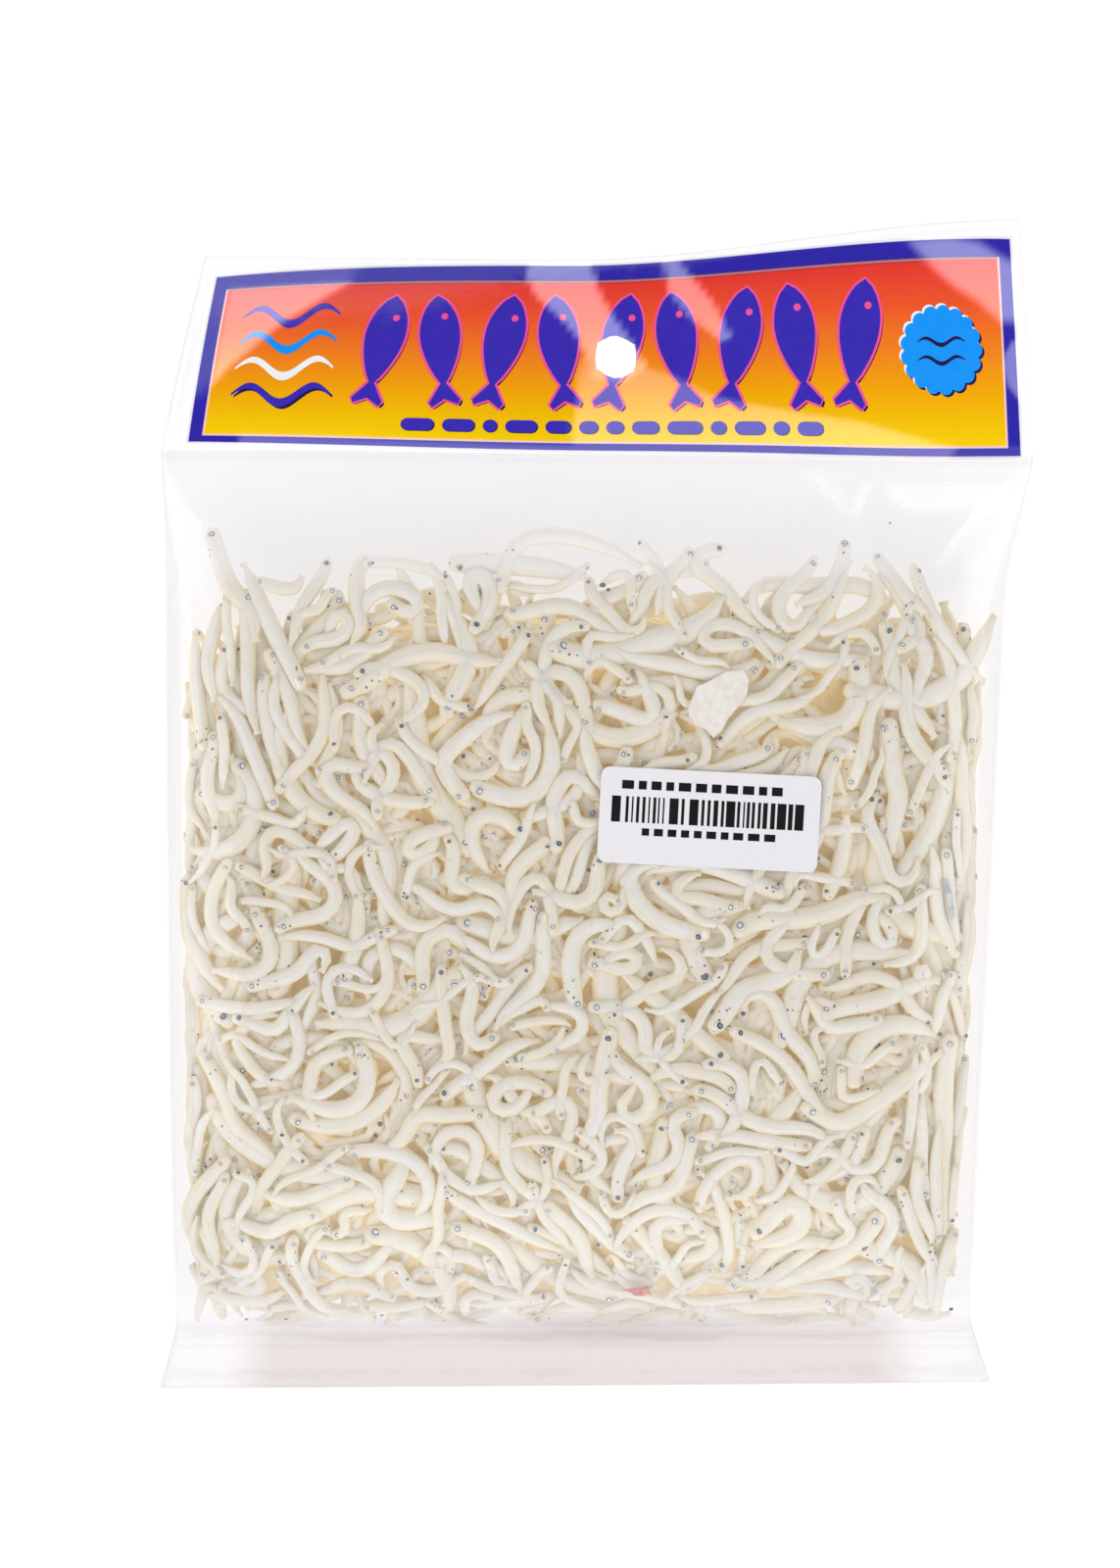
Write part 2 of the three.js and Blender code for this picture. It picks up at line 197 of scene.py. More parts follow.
def cross_section(y):
    """Middle, half width, middle level, half thickness and lean of the bag at y"""
    left, right, under, over, lean = (section_value(key, y) for key in SECTION_KEYS[1:])
    under = np.maximum(0, under)
    return (left + right) / 2, (right - left) / 2, (under + over) / 2, (over - under) / 2, lean


def fullness(share):
    """How full a section is: 1 in the middle and 0 at the side folds"""
    inside = 1 - np.clip(np.abs(share), 0, 1) ** SIDE_ROUNDNESS
    return inside ** (1 / SIDE_ROUNDNESS)


def rising(value, start, width):
    """A soft step from 0 to 1 that begins at start; a negative width makes it run the other way"""
    return smooth((value - start) / width)


def filled(y):
    """1 where fish press against the film, 0 in the seals and in the empty part under the header"""
    return rising(y, -82, 9) * rising(y, 50, -12)


# %% [markdown]
# The label was stuck on by a machine that pressed the film flat under it, so the front film has a
# level pad there.

# %% The label's place and the front and back films
LABEL = {"x": 18, "y": 0.6, "width": 33, "height": 14.4, "turn": math.radians(-2.9), "pad": 1.2}
PAD_SLOPE = 5  # width of the slope round the pad
LOWEST_FILM = 0.02


def beside_label(x, y):
    """Distance outside the label's pad: 0 or less on it"""
    dx, dy = x - LABEL["x"], y - LABEL["y"]
    along = dx * math.cos(LABEL["turn"]) + dy * math.sin(LABEL["turn"])
    up = dy * math.cos(LABEL["turn"]) - dx * math.sin(LABEL["turn"])
    out_x = np.abs(along) - LABEL["width"] / 2 - LABEL["pad"]
    out_y = np.abs(up) - LABEL["height"] / 2 - LABEL["pad"]
    return np.maximum(out_x, out_y)


def front_level(x, y):
    """Level of the front film over the filled part"""
    middle, half, level, rise, _ = cross_section(y)
    stand = rise - FILM_GAP + FISH_RELIEF * filled(y)
    return level + FILM_GAP + stand * fullness((x - middle) / half)


LABEL_LEVEL = float(front_level(np.array([LABEL["x"]]), np.array([LABEL["y"]]))[0])


def front_film(x, y):
    """Level of the front film with its pad under the label"""
    on_pad = 1 - smooth(beside_label(x, y) / PAD_SLOPE)
    return front_level(x, y) * (1 - on_pad) + LABEL_LEVEL * on_pad


def back_film(x, y):
    """Level of the film that the bag lies on"""
    middle, half, level, rise, _ = cross_section(y)
    round_side = rise - FILM_GAP + UNDERSIDE_FLATTENING * np.minimum(1, rise / FULL_RISE) ** 2
    return np.maximum(LOWEST_FILM, level - FILM_GAP - round_side * fullness((x - middle) / half))


print("the label lies at", round(LABEL_LEVEL, 2), "mm")

# %% [markdown]
# ## The header's form
#
# Above the heat seal the two films and the card between them make one stiff, slightly wavy sheet. Its
# left half droops to the table and its right corner stays up.

# %% The header's middle surface
HEADER_TOP = {"left": -58.7, "right": 64.6, "y": 85.2, "rise": 5.1, "corner_dip": 0.5}
HEADER_TOP_LEVEL = {"low": 0.65, "lift": 10.4}
HEADER_ARCH = {"left": 2.2, "right": 0.6}
HEADER_WAVE = {"height": 0.45, "waves": 1.5}
HEADER_CLIMB_START = -0.1


def header_point(u, v, above=0):
    """A point of the header: u runs across from -1 to 1, and v from the seal to the top edge"""
    seal = dict(zip(SECTION_KEYS, SECTIONS[-1]))
    across = (u + 1) / 2
    climb = smooth((u - HEADER_CLIMB_START) / (1 - HEADER_CLIMB_START))
    top_y = HEADER_TOP["y"] + HEADER_TOP["rise"] * climb + HEADER_TOP["corner_dip"] * smooth(-u)
    top_level = HEADER_TOP_LEVEL["low"] + HEADER_TOP_LEVEL["lift"] * climb
    bulge = HEADER_ARCH["left"] + (HEADER_ARCH["right"] - HEADER_ARCH["left"]) * smooth(across)
    ripple = np.sin(2 * np.pi * HEADER_WAVE["waves"] * across)
    wave = HEADER_WAVE["height"] * np.sin(np.pi * v) * ripple
    seal_x = seal["left"] + (seal["right"] - seal["left"]) * across
    top_x = HEADER_TOP["left"] + (HEADER_TOP["right"] - HEADER_TOP["left"]) * across
    x = seal_x + (top_x - seal_x) * v
    y = (seal["y"] + seal["lean"] * u) * (1 - v) + top_y * v
    z = (seal["under"] + seal["over"]) / 2 * (1 - v) + top_level * v + 4 * v * (1 - v) * bulge + wave + above
    return np.stack([x, y, z], -1)


# %% [markdown]
# ## Working with meshes
#
# A few helpers do by name what one does with the mouse: open a mesh, pick points by their place,
# cut, close, and move all points at once by a rule.

# %% Mesh helpers
def choose(piece):
    """Makes piece the only selected and active object"""
    bpy.ops.object.select_all(action="DESELECT")
    piece.select_set(True)
    bpy.context.view_layer.objects.active = piece


def open_mesh(piece):
    choose(piece)
    bpy.ops.object.mode_set(mode="EDIT")
    bpy.ops.mesh.select_mode(type="VERT")


def close_mesh():
    bpy.ops.object.mode_set(mode="OBJECT")


def pick(test):
    """Selects the points of the open mesh whose place passes the test"""
    mesh = bpy.context.object.data
    points = bmesh.from_edit_mesh(mesh)
    for point in points.verts:
        point.select = bool(test(point.co))
    points.select_flush_mode()
    bmesh.update_edit_mesh(mesh)


def places(piece):
    """The points of a mesh as rows of x, y, z"""
    flat = np.empty(len(piece.data.vertices) * 3)
    piece.data.vertices.foreach_get("co", flat)
    return flat.reshape(-1, 3)


def set_places(piece, rows):
    piece.data.vertices.foreach_set("co", np.asarray(rows, float).ravel())
    piece.data.update()


def shade_smooth(piece, angle=math.radians(60)):
    choose(piece)
    bpy.ops.object.shade_smooth_by_angle(angle=angle)


def paint_points(piece, name, rows):
    """Stores a colour, four numbers a point, that a material can read by name"""
    layer = piece.data.color_attributes.new(name=name, type="FLOAT_COLOR", domain="POINT")
    layer.data.foreach_set("color", np.asarray(rows, float).ravel())


def triangles(piece):
    return sum(len(face.vertices) - 2 for face in piece.data.polygons)


def settle(piece):
    """Lets a finished piece move with the bag and prints its count of triangles"""
    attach(piece, "root")
    print(piece.name, "has", triangles(piece), "triangles")


# %% [markdown]
# ## Materials
#
# Colours are read from the photo as numbers from 0 to 255 and turned into the linear numbers that
# shaders take.

# %% Material helpers
def paint(red, green, blue):
    def linear(value):
        share = value / 255
        return share / 12.92 if share <= 0.04045 else ((share + 0.055) / 1.055) ** 2.4

    return (linear(red), linear(green), linear(blue), 1)


class Finish:
    """A material under construction: its nodes, with the few links this script needs written shortly"""

    def __init__(self, name):
        self.material = bpy.data.materials.new(name)
        self.material.use_nodes = True
        self.material.cycles.emission_sampling = "NONE"  # a weak glow needs no rays aimed at it
        self.tree = self.material.node_tree
        self.surface = self.tree.nodes["Principled BSDF"]
        self.output = self.tree.nodes["Material Output"]

    def link(self, source, target):
        self.tree.links.new(source, target)

    def node(self, kind, **sockets):
        made = self.tree.nodes.new(kind)
        for name, value in sockets.items():
            self.feed(made.inputs[name.replace("_", " ")], value)
        return made

    def feed(self, socket, value):
        if isinstance(value, bpy.types.NodeSocket):
            self.link(value, socket)
        else:
            socket.default_value = value

    def maths(self, operation, first, second=0.0, clamp=False):
        made = self.tree.nodes.new("ShaderNodeMath")
        made.operation = operation
        made.use_clamp = clamp
        self.feed(made.inputs[0], first)
        self.feed(made.inputs[1], second)
        return made.outputs[0]

    def times(self, first, second):
        return self.maths("MULTIPLY", first, second)

    def rest(self, share):
        """What a share leaves of the whole"""
        return self.maths("SUBTRACT", 1.0, share)

    def step(self, value, low, high):
        """0 below low, 1 above high, even between them"""
        made = self.tree.nodes.new("ShaderNodeMapRange")
        made.interpolation_type = "SMOOTHSTEP"
        self.feed(made.inputs["Value"], value)
        made.inputs["From Min"].default_value = low
        made.inputs["From Max"].default_value = high
        return made.outputs["Result"]

    def blend(self, share, first, second):
        made = self.tree.nodes.new("ShaderNodeMix")
        made.data_type = "RGBA"
        self.feed(made.inputs[0], share)
        self.feed(made.inputs[6], first)
        self.feed(made.inputs[7], second)
        return made.outputs[2]

    def mix_shaders(self, share, first, second):
        made = self.tree.nodes.new("ShaderNodeMixShader")
        for socket, value in zip(made.inputs, (share, first, second)):
            self.link(value, socket)
        return made.outputs[0]

    def place(self):
        return self.node("ShaderNodeTexCoord").outputs["Object"]

    def across_and_along(self, vector):
        """The first two numbers of a vector"""
        return self.node("ShaderNodeSeparateXYZ", Vector=vector).outputs[:2]

    def noise(self, scale, detail=3, roughness=0.5):
        place = self.place()
        made = self.node("ShaderNodeTexNoise", Vector=place, Scale=scale, Detail=detail, Roughness=roughness)
        return made.outputs["Fac"]

    def points(self, name):
        """The four numbers of a colour stored with the mesh's points"""
        made = self.node("ShaderNodeAttribute")
        made.attribute_name = name
        parts = self.node("ShaderNodeSeparateColor", Color=made.outputs["Color"])
        return [*parts.outputs, made.outputs["Alpha"]]

    def bump(self, height, distance, strength=1.0):
        made = self.node("ShaderNodeBump", Height=height, Distance=distance, Strength=strength)
        self.link(made.outputs["Normal"], self.surface.inputs["Normal"])

    def set(self, **sockets):
        for name, value in sockets.items():
            self.feed(self.surface.inputs[name.replace("_", " ")], value)


def dress(piece, *finishes):
    piece.data.materials.clear()
    for finish in finishes:
        piece.data.materials.append(finish.material)


# %% [markdown]
# The floor is grey paper that gives off light of its own.

# %% Floor material
paper_floor = Finish("white_lit_floor")
paper_floor.set(
    Base_Color=(0.5, 0.5, 0.5, 1),
    Roughness=0.9,
    Specular_IOR_Level=0.1,
    Emission_Color=(1, 1, 1, 1),
    Emission_Strength=0.68,
)
dress(floor, paper_floor)

# %% [markdown]
# ## One anchovy
#
# A dried anchovy of this kind is a soft tapering tube: a blunt head with a round eye on each side, a
# body a little higher than it is wide, and a small tail fin. Modelling one with a mouse starts with a
# tube, cut into rings that are then squeezed one by one, and ends by pulling the tail fin out of the
# last ring. The heap needs three of them: stout, slim and small. Each is one unit long, with its
# snout at x = 0 and a half thickness of 1, and gets its real size when it is copied.

# %% Model the three anchovies
BODY_SHARES = (0, 0.02, 0.06, 0.13, 0.25, 0.4, 0.62, 0.75, 0.86, 0.93, 0.96)
BODY_WIDTHS = (0.36, 0.66, 0.84, 0.92, 0.98, 1, 0.98, 0.9, 0.71, 0.46, 0.32)
FLATNESS = 0.8  # height of a body that the film has pressed, as a share of its width


def body_width(share):
    """Half width at a share of the length, where 1 is the largest"""
    return np.interp(share, BODY_SHARES, BODY_WIDTHS)


TAIL_LENGTH = 0.05
HEAD_RINGS = (0, 0.02, 0.06)
TAIL_SPREAD = (1, 0.5, 1.5)
HIGHER = 0.04  # how much more high than wide a body is
FISH_FORMS = {"stout": (8, 11), "slim": (6, 12), "small": (6, 9)}  # sides and rings of the body


def model_anchovy(name, sides, rings):
    turned = (0, math.pi / 2, 0)
    bpy.ops.mesh.primitive_cylinder_add(
        vertices=sides, radius=1, depth=1, end_fill_type="NOTHING", location=(0.5, 0, 0), rotation=turned
    )
    fish = bpy.context.object
    fish.name = name
    bpy.ops.object.transform_apply(location=True, rotation=True, scale=True)
    body_end = BODY_SHARES[-1]
    ring_places = [*HEAD_RINGS, *np.linspace(0.13, body_end, rings)]
    open_mesh(fish)
    bpy.ops.mesh.select_all(action="SELECT")
    bpy.ops.transform.resize(value=(body_end, 1, 1), center_override=(0, 0, 0))
    for share in ring_places[1:-1]:
        bpy.ops.mesh.select_all(action="SELECT")
        bpy.ops.mesh.bisect(plane_co=(share, 0, 0), plane_no=(1, 0, 0))
    for share in ring_places:
        pick(lambda place: abs(place.x - share) < 1e-4)
        width = body_width(share)
        bpy.ops.transform.resize(value=(1, width, width + HIGHER), center_override=(share, 0, 0))
    pick(lambda place: place.x < 1e-4)
    bpy.ops.mesh.edge_face_add()
    bpy.ops.mesh.poke(offset=0)
    pick(lambda place: place.x > body_end - 1e-4)
    bpy.ops.mesh.extrude_region_move(TRANSFORM_OT_translate={"value": (TAIL_LENGTH, 0, 0)})
    bpy.ops.transform.resize(value=TAIL_SPREAD, center_override=(body_end + TAIL_LENGTH, 0, 0))
    bpy.ops.mesh.edge_face_add()
    bpy.ops.mesh.select_all(action="SELECT")
    bpy.ops.mesh.normals_make_consistent(inside=False)
    close_mesh()
    return fish


ANCHOVIES = {kind: model_anchovy(f"{kind}_anchovy", *form) for kind, form in FISH_FORMS.items()}
for name, fish in ANCHOVIES.items():
    print(name, "anchovy:", len(fish.data.polygons), "faces")

# %% [markdown]
# The eye of a dried fish is a low dome: a white lens in the middle, a dark ring round it and a silver
# rim. It is the top of a ball, flattened. The distance from its middle is stored with its points, so
# that one material can paint the rings.

# %% Model one eye
EYE_SIDES = 9
EYE_HEIGHT = 0.55

bpy.ops.mesh.primitive_uv_sphere_add(segments=EYE_SIDES, ring_count=6, radius=1)
eye = bpy.context.object
eye.name = "anchovy_eye"
open_mesh(eye)
pick(lambda place: place.z < -1e-4)
bpy.ops.mesh.delete(type="VERT")
bpy.ops.mesh.select_all(action="SELECT")
bpy.ops.transform.resize(value=(1, 1, EYE_HEIGHT), center_override=(0, 0, 0))
close_mesh()
print("eye:", len(eye.data.polygons), "faces")

# %% [markdown]
# ## Laying the fish
#
# Dropping two thousand curved bodies with the physics engine would take far too long, so the heap is
# built the way it forms: each fish comes down on what already lies there. The front and the underside
# of the bag are filled in this way, the underside upside down.
# A few scraps lie on top of the fish, right under the film: a flat white flake, a reddish chip of shell
# and a silvery strip of skin. The fish below them get less room.

# %% Outlines of the scraps
SCRAPS = {
    "white_flake": [(14.9, 17.3), (16.2, 20.4), (18, 21.2), (20.7, 22.7), (23.2, 22.9), (24, 21.6)]
    + [(23.7, 19.2), (22.2, 17.2), (20.7, 15.4), (20, 13.9), (18.7, 12.7), (17.5, 14), (16, 14.6), (15, 16)],
    "shell_chip": [(4.9, -72.1), (6.4, -71.9), (8.2, -71.7), (9.2, -71.4), (9.5, -72.6), (9.9, -73.3)]
    + [(9.2, -72.9), (8.5, -73.3), (7, -73.2), (6.6, -72.7)],
    "skin_strip": [(53.3, -8.8), (54, -8.6), (54.9, -11), (55.3, -14), (54.9, -15.2), (54.3, -13)]
    + [(53.9, -11)],
}


def beside_line(x, y, start_x, start_y, end_x, end_y):
    """How far along a straight line places are, as a share of it, and how far from it"""
    run, rise = end_x - start_x, end_y - start_y
    share = ((x - start_x) * run + (y - start_y) * rise) / (run**2 + rise**2)
    on_line = np.clip(share, 0, 1)
    return share, np.hypot(x - start_x - on_line * run, y - start_y - on_line * rise)


def inside_outline(outline, x, y, blur=0.5):
    """1 inside an outline, 0 outside it, and even between them over a little width"""
    nearest = np.full(np.shape(x), np.inf)
    inside = np.zeros(np.shape(x), bool)
    for (x0, y0), (x1, y1) in zip(outline, outline[1:] + outline[:1]):
        nearest = np.minimum(nearest, beside_line(x, y, x0, y0, x1, y1)[1])
        if y0 != y1:
            inside ^= ((y0 > y) != (y1 > y)) & (x < (x1 - x0) * (y - y0) / (y1 - y0) + x0)
    return smooth((np.where(inside, nearest, -nearest) + blur) / (2 * blur))


# %% [markdown]
# A map of the heap's height, one number each half millimetre, tells how high each part of a fish has to
# stay. A second map tells how high it may reach. Near the bottom seal the film is crumpled and needs
# some room, and the heap runs out to a single layer at its upper edge.

# %% The height map
CELL = 0.5
MAP_X = np.arange(-68, 68, CELL)
MAP_Y = np.arange(-92, 60, CELL)
MAP_PLACES = np.meshgrid(MAP_X, MAP_Y)
MAP_MARGIN = 3
HEAP_DEPTH = {"front": 4.4, "back": 3.4}
CRUMPLED = {"from": -60, "height": 0.35}
THIN_EDGE = {"from": 27, "width": 8, "share": 0.42}
SCRAP_ROOM = 0.7
FILM_TOUCH = 0.1


def crumpled(y):
    """Share of the crumples that the film has near the bottom seal"""
    return rising(y, CRUMPLED["from"], -7) * rising(y, -85, 3)


def cells(points):
    column = ((points[..., 0] - MAP_X[0]) / CELL).astype(int)
    row = ((points[..., 1] - MAP_Y[0]) / CELL).astype(int)
    return row, column


def on_map(line):
    low, high = np.array([MAP_X[0], MAP_Y[0]]) + MAP_MARGIN, np.array([MAP_X[-1], MAP_Y[-1]]) - MAP_MARGIN
    return bool(((line > low) & (line < high)).all())


def lowest_nearby(levels):
    """The lowest of each cell and its four neighbours, so that round bodies stay under a sloping film"""
    lowest = levels.copy()
    for step, axis in ((1, 0), (-1, 0), (1, 1), (-1, 1)):
        lowest = np.minimum(lowest, np.roll(levels, step, axis))
    return lowest


def bag_middle(x, y):
    return cross_section(y)[2] + 0 * x


def new_heap(side):
    """The level that the fish lie on and the level that they must stay under, as seen from that side"""
    x, y = MAP_PLACES
    middle = bag_middle(x, y)
    if side == "front":
        roof = front_film(x, y) - FILM_TOUCH - CRUMPLED["height"] * crumpled(y)
        for outline in SCRAPS.values():
            roof = roof - SCRAP_ROOM * inside_outline(outline, x, y)
    else:
        middle, roof = -middle, -back_film(x, y) - FILM_TOUCH
    for _ in range(2):
        roof = lowest_nearby(roof)
    thin = 1 - THIN_EDGE["share"] * rising(y, THIN_EDGE["from"], THIN_EDGE["width"])
    floor_level = np.maximum(middle, roof - HEAP_DEPTH[side] * thin)
    return {"height": floor_level, "roof": roof, "film": roof, "cover": roof.copy(), "side": side}


# %% [markdown]
# A fish is a line on the map with a thickness. It is bent as a whole, waved, hooked at the tail or
# crooked at one place, or it follows given points.

# %% A fish's line
LINE_POINTS = 12
LINE_SHARES = np.linspace(0, 1, LINE_POINTS)
CROOK_LENGTH = 0.26  # share of its length over which a fish is bent sharply


def lengths_along(path):
    """How far each point of a path is from its start, along the path"""
    return np.concatenate([[0], np.cumsum(np.linalg.norm(np.diff(path, axis=0), axis=1))])


def points_at(values, known, rows):
    """Rows of numbers read off between known values"""
    return np.stack([np.interp(values, known, column) for column in rows.T], -1)


def curve_through(corners, points):
    """Evenly spaced points of a smooth curve through corners"""
    corners = np.array(corners, float)
    before, after = corners[0] * 2 - corners[1], corners[-1] * 2 - corners[-2]
    p = np.vstack([before, corners, after])
    t = np.linspace(0, 1, 8, endpoint=False)[:, None]
    shares = (-t + 2 * t**2 - t**3, 2 - 5 * t**2 + 3 * t**3, t + 4 * t**2 - 3 * t**3, t**3 - t**2)
    pieces = [
        sum(share * corner for share, corner in zip(shares, four)) / 2
        for four in zip(p, p[1:], p[2:], p[3:])
    ]
    curve = np.vstack([*pieces, corners[-1]])
    travelled = lengths_along(curve)
    return points_at(np.linspace(0, travelled[-1], points), travelled, curve)


def middle_line(fish, points=LINE_POINTS):
    """Points along a fish, seen from above"""
    if "through" in fish:
        return curve_through(fish["through"], points)
    ends = np.linspace(0, 1, points)
    s = (ends[1:] + ends[:-1]) / 2
    angle = fish["heading"] + fish["bend"] * (s - 0.5) + fish["wave"] * np.sin(2 * np.pi * s)
    angle = angle + fish["hook"] * smooth((s - 0.5) / 0.5)
    angle = angle + fish["crook"] * smooth((s - fish["crook_at"]) / CROOK_LENGTH + 0.5)
    steps = np.stack([np.cos(angle), np.sin(angle)], -1) * fish["length"] / (points - 1)
    line = np.vstack([np.zeros(2), np.cumsum(steps, 0)])
    return line - line[points // 2] + (fish["x"], fish["y"])


def thickness_along(radius):
    """Half width along the line"""
    return radius * body_width(LINE_SHARES)


def sideways(line):
    along = np.empty_like(line)
    along[1:-1] = line[2:] - line[:-2]
    along[0], along[-1] = line[1] - line[0], line[-1] - line[-2]
    along /= np.hypot(along[:, 0], along[:, 1])[:, None]
    return np.stack([-along[:, 1], along[:, 0]], -1)


def spots_across(line, shares, radii):
    """Places on a fish at shares of its half width, for each point of its line"""
    return line[:, None] + sideways(line)[:, None] * (shares[:, None] * radii[:, None, None])


# %% [markdown]
# The fish is stiff, so it keeps a smooth line over the bumps below it, and it is soft enough to sink in
# a little. If its back then stands above the film, that place is full and another one is tried.

# %% Coming down on the heap
ACROSS = np.array([-0.8, -0.4, 0, 0.4, 0.8])  # places across a body, in shares of its radius
SINKING = 0.45  # how far a body may press into what it lies on, as a share of its radius
STIFFNESS = 0.65
CURVES = np.vander(LINE_SHARES, 3)
FIT_CURVE = CURVES @ np.linalg.pinv(CURVES)  # turns heights along a line into the nearest parabola
FINE = np.linspace(0, 1, 4 * LINE_POINTS)
ACROSS_FINE = np.linspace(-0.95, 0.95, 9)


def rest_on(heap, line, radii, pressing):
    """Heights of a fish that comes down on the heap, or None if it would lift the film"""
    row, column = cells(spots_across(line, ACROSS, radii))
    belly = FLATNESS * radii[:, None] * np.sqrt(1 - ACROSS**2)
    need = (heap["height"][row, column] + belly).max(1)
    ceiling = (heap["roof"][row, column] - belly).min(1)
    padded = np.concatenate([need[:1], need, need[-1:]])
    soft = (padded[:-2] + padded[1:-1] + padded[2:]) / 3
    level = STIFFNESS * (FIT_CURVE @ need) + (1 - STIFFNESS) * soft
    level += max(0.0, float((need - level - SINKING * radii).max()))
    if float((level - ceiling - pressing * radii).max()) > 0:
        return None
    return np.minimum(level, ceiling)


def press_in(heap, line, level, radii):
    """Raises the height map where a fish now lies"""
    fine = points_at(FINE, LINE_SHARES, line)
    fine_level = np.interp(FINE, LINE_SHARES, level)
    fine_radii = np.interp(FINE, LINE_SHARES, radii)
    row, column = cells(spots_across(fine, ACROSS_FINE, fine_radii))
    back = fine_level[:, None] + FLATNESS * fine_radii[:, None] * np.sqrt(1 - ACROSS_FINE**2)
    np.maximum.at(heap["height"], (row, column), back)


# %% [markdown]
# The heap's outline: the fish reach nearly to the side folds, and the upper edge is an uneven arch,
# lower at the sides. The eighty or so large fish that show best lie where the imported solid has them.
# They are drawn by the same rule from the same random numbers, and lie right under the film.

# %% The large fish that the solids show
FISH_SIZES = [
    {"count": 12, "length": (25, 30), "radius": (1.75, 2.15), "crowding": 0.55},
    {"count": 28, "length": (19, 24), "radius": (1.35, 1.75), "crowding": 0.8},
    {"count": 40, "length": (13, 18), "radius": (1.05, 1.35), "crowding": 1.5},
]
FISH_AREA = {"bottom": -76, "top": 40, "side_margin": 3.6}
FILL_CORNERS = {"drop": 12, "power": 2.5}
FISH_SPACING = 1.125
FISH_TRIES = 900
FISH_RINGS = np.array([0, 0.12, 0.34, 0.6, 0.84, 1])
FISH_BENDING = {"most": 3, "wave": 0.6}
FISH_SEED = 20871


def random_source(seed):
    """Repeatable random numbers from 0 to 1, by the usual multiply-and-remainder rule"""
    factor, limit = 16807, 2147483647
    state = seed
    while True:
        state = (state * factor) % limit
        yield state / limit


def heap_top(x, y):
    """How far up the heap reaches at x"""
    middle, half, *_ = cross_section(y)
    share = np.minimum(1, np.abs(x - middle) / half)
    return FISH_AREA["top"] - FILL_CORNERS["drop"] * share ** FILL_CORNERS["power"]


def inside_heap(line):
    x, y = line[:, 0], line[:, 1]
    middle, half, *_ = cross_section(y)
    in_height = (y > FISH_AREA["bottom"]) & (y < heap_top(x, y))
    return bool((in_height & (np.abs(x - middle) < half - FISH_AREA["side_margin"])).all())


def ring_line(fish):
    """The six points of a large fish's middle line that the solids use"""
    shares = (FISH_RINGS[1:] + FISH_RINGS[:-1]) / 2
    angle = fish["heading"] + fish["bend"] * (shares - 0.5) + fish["wave"] * np.sin(2 * np.pi * shares)
    steps = np.stack([np.cos(angle), np.sin(angle)], -1) * (np.diff(FISH_RINGS) * fish["length"])[:, None]
    line = np.vstack([np.zeros(2), np.cumsum(steps, 0)])
    return line - line[len(line) // 2] + (fish["x"], fish["y"])


def large_fish():
    numbers = random_source(FISH_SEED)

    def between(low, high):
        return low + (high - low) * next(numbers)

    low = FISH_AREA["bottom"]
    placed, points, rooms = [], np.empty((0, 2)), np.empty(0)
    for size in FISH_SIZES:
        for _ in range(size["count"]):
            for _ in range(FISH_TRIES):
                fish = {
                    "x": between(SECTIONS[0][1], SECTIONS[0][2]),
                    "y": low + (FISH_AREA["top"] - low) * next(numbers) ** size["crowding"],
                    "heading": between(0, 2 * math.pi),
                    "length": between(*size["length"]),
                    "radius": between(*size["radius"]),
                    "bend": between(-1, 1) ** 3 * FISH_BENDING["most"],
                    "wave": between(-FISH_BENDING["wave"], FISH_BENDING["wave"]),
                    "hook": 0,
                    "crook": 0,
                    "crook_at": 0.5,
                }
                line = ring_line(fish)
                off_label = beside_label(line[:, 0], line[:, 1]).min() > fish["radius"]
                if not (off_label and inside_heap(line)):
                    continue
                gaps = np.linalg.norm(line[:, None] - points[None], axis=2)
                if (gaps > (fish["radius"] + rooms) * FISH_SPACING).all():
                    placed.append(fish)
                    points = np.vstack([points, line])
                    rooms = np.concatenate([rooms, np.full(len(line), fish["radius"])])
                    break
    return placed


shown_fish = large_fish()
print(len(shown_fish), "large fish lie where the solids have them")

# %% [markdown]
# The other fish are drawn freely. Those near a side fold lie along it and those at the bottom lie
# along the seal, because the film turned them, and the rest lie every way.

# %% Sizes and order of the other fish
FILL_SIZES = [
    {"kind": "stout", "length": (19, 27), "radius": (1.35, 1.8), "crowding": 0.75, "curl": 0.8},
    {"kind": "slim", "length": (14, 24), "radius": (1.0, 1.35), "crowding": 0.95, "curl": 1},
    {"kind": "small", "length": (9, 16), "radius": (0.65, 0.95), "crowding": 1.2, "curl": 0.9},
]
STAGE_KEYS = ("below_film", "tries", "chances", "pressing", "room", "places", "low")
BED_STAGES = [  # the fish below those that show, and what closes the holes between them
    (1.8, 3000, (0.1, 0.6, 0.3), 1.2, 1.2, 8, 7),
    (1.7, 1500, (0, 0.4, 0.6), 2, 1.2, 40, 7),
]
TOP_STAGES = [  # the fish that show, and small ones in what room is left
    (0, 8000, (0.3, 0.7, 0), 0.9, 1.3, 8, 1),
    (0, 12000, (0, 0.4, 0.6), 1.2, 1, 20, 3),
]

# %% [markdown]
# Of a few random places the one with most room is taken, because a fish slides down to where there is
# room.

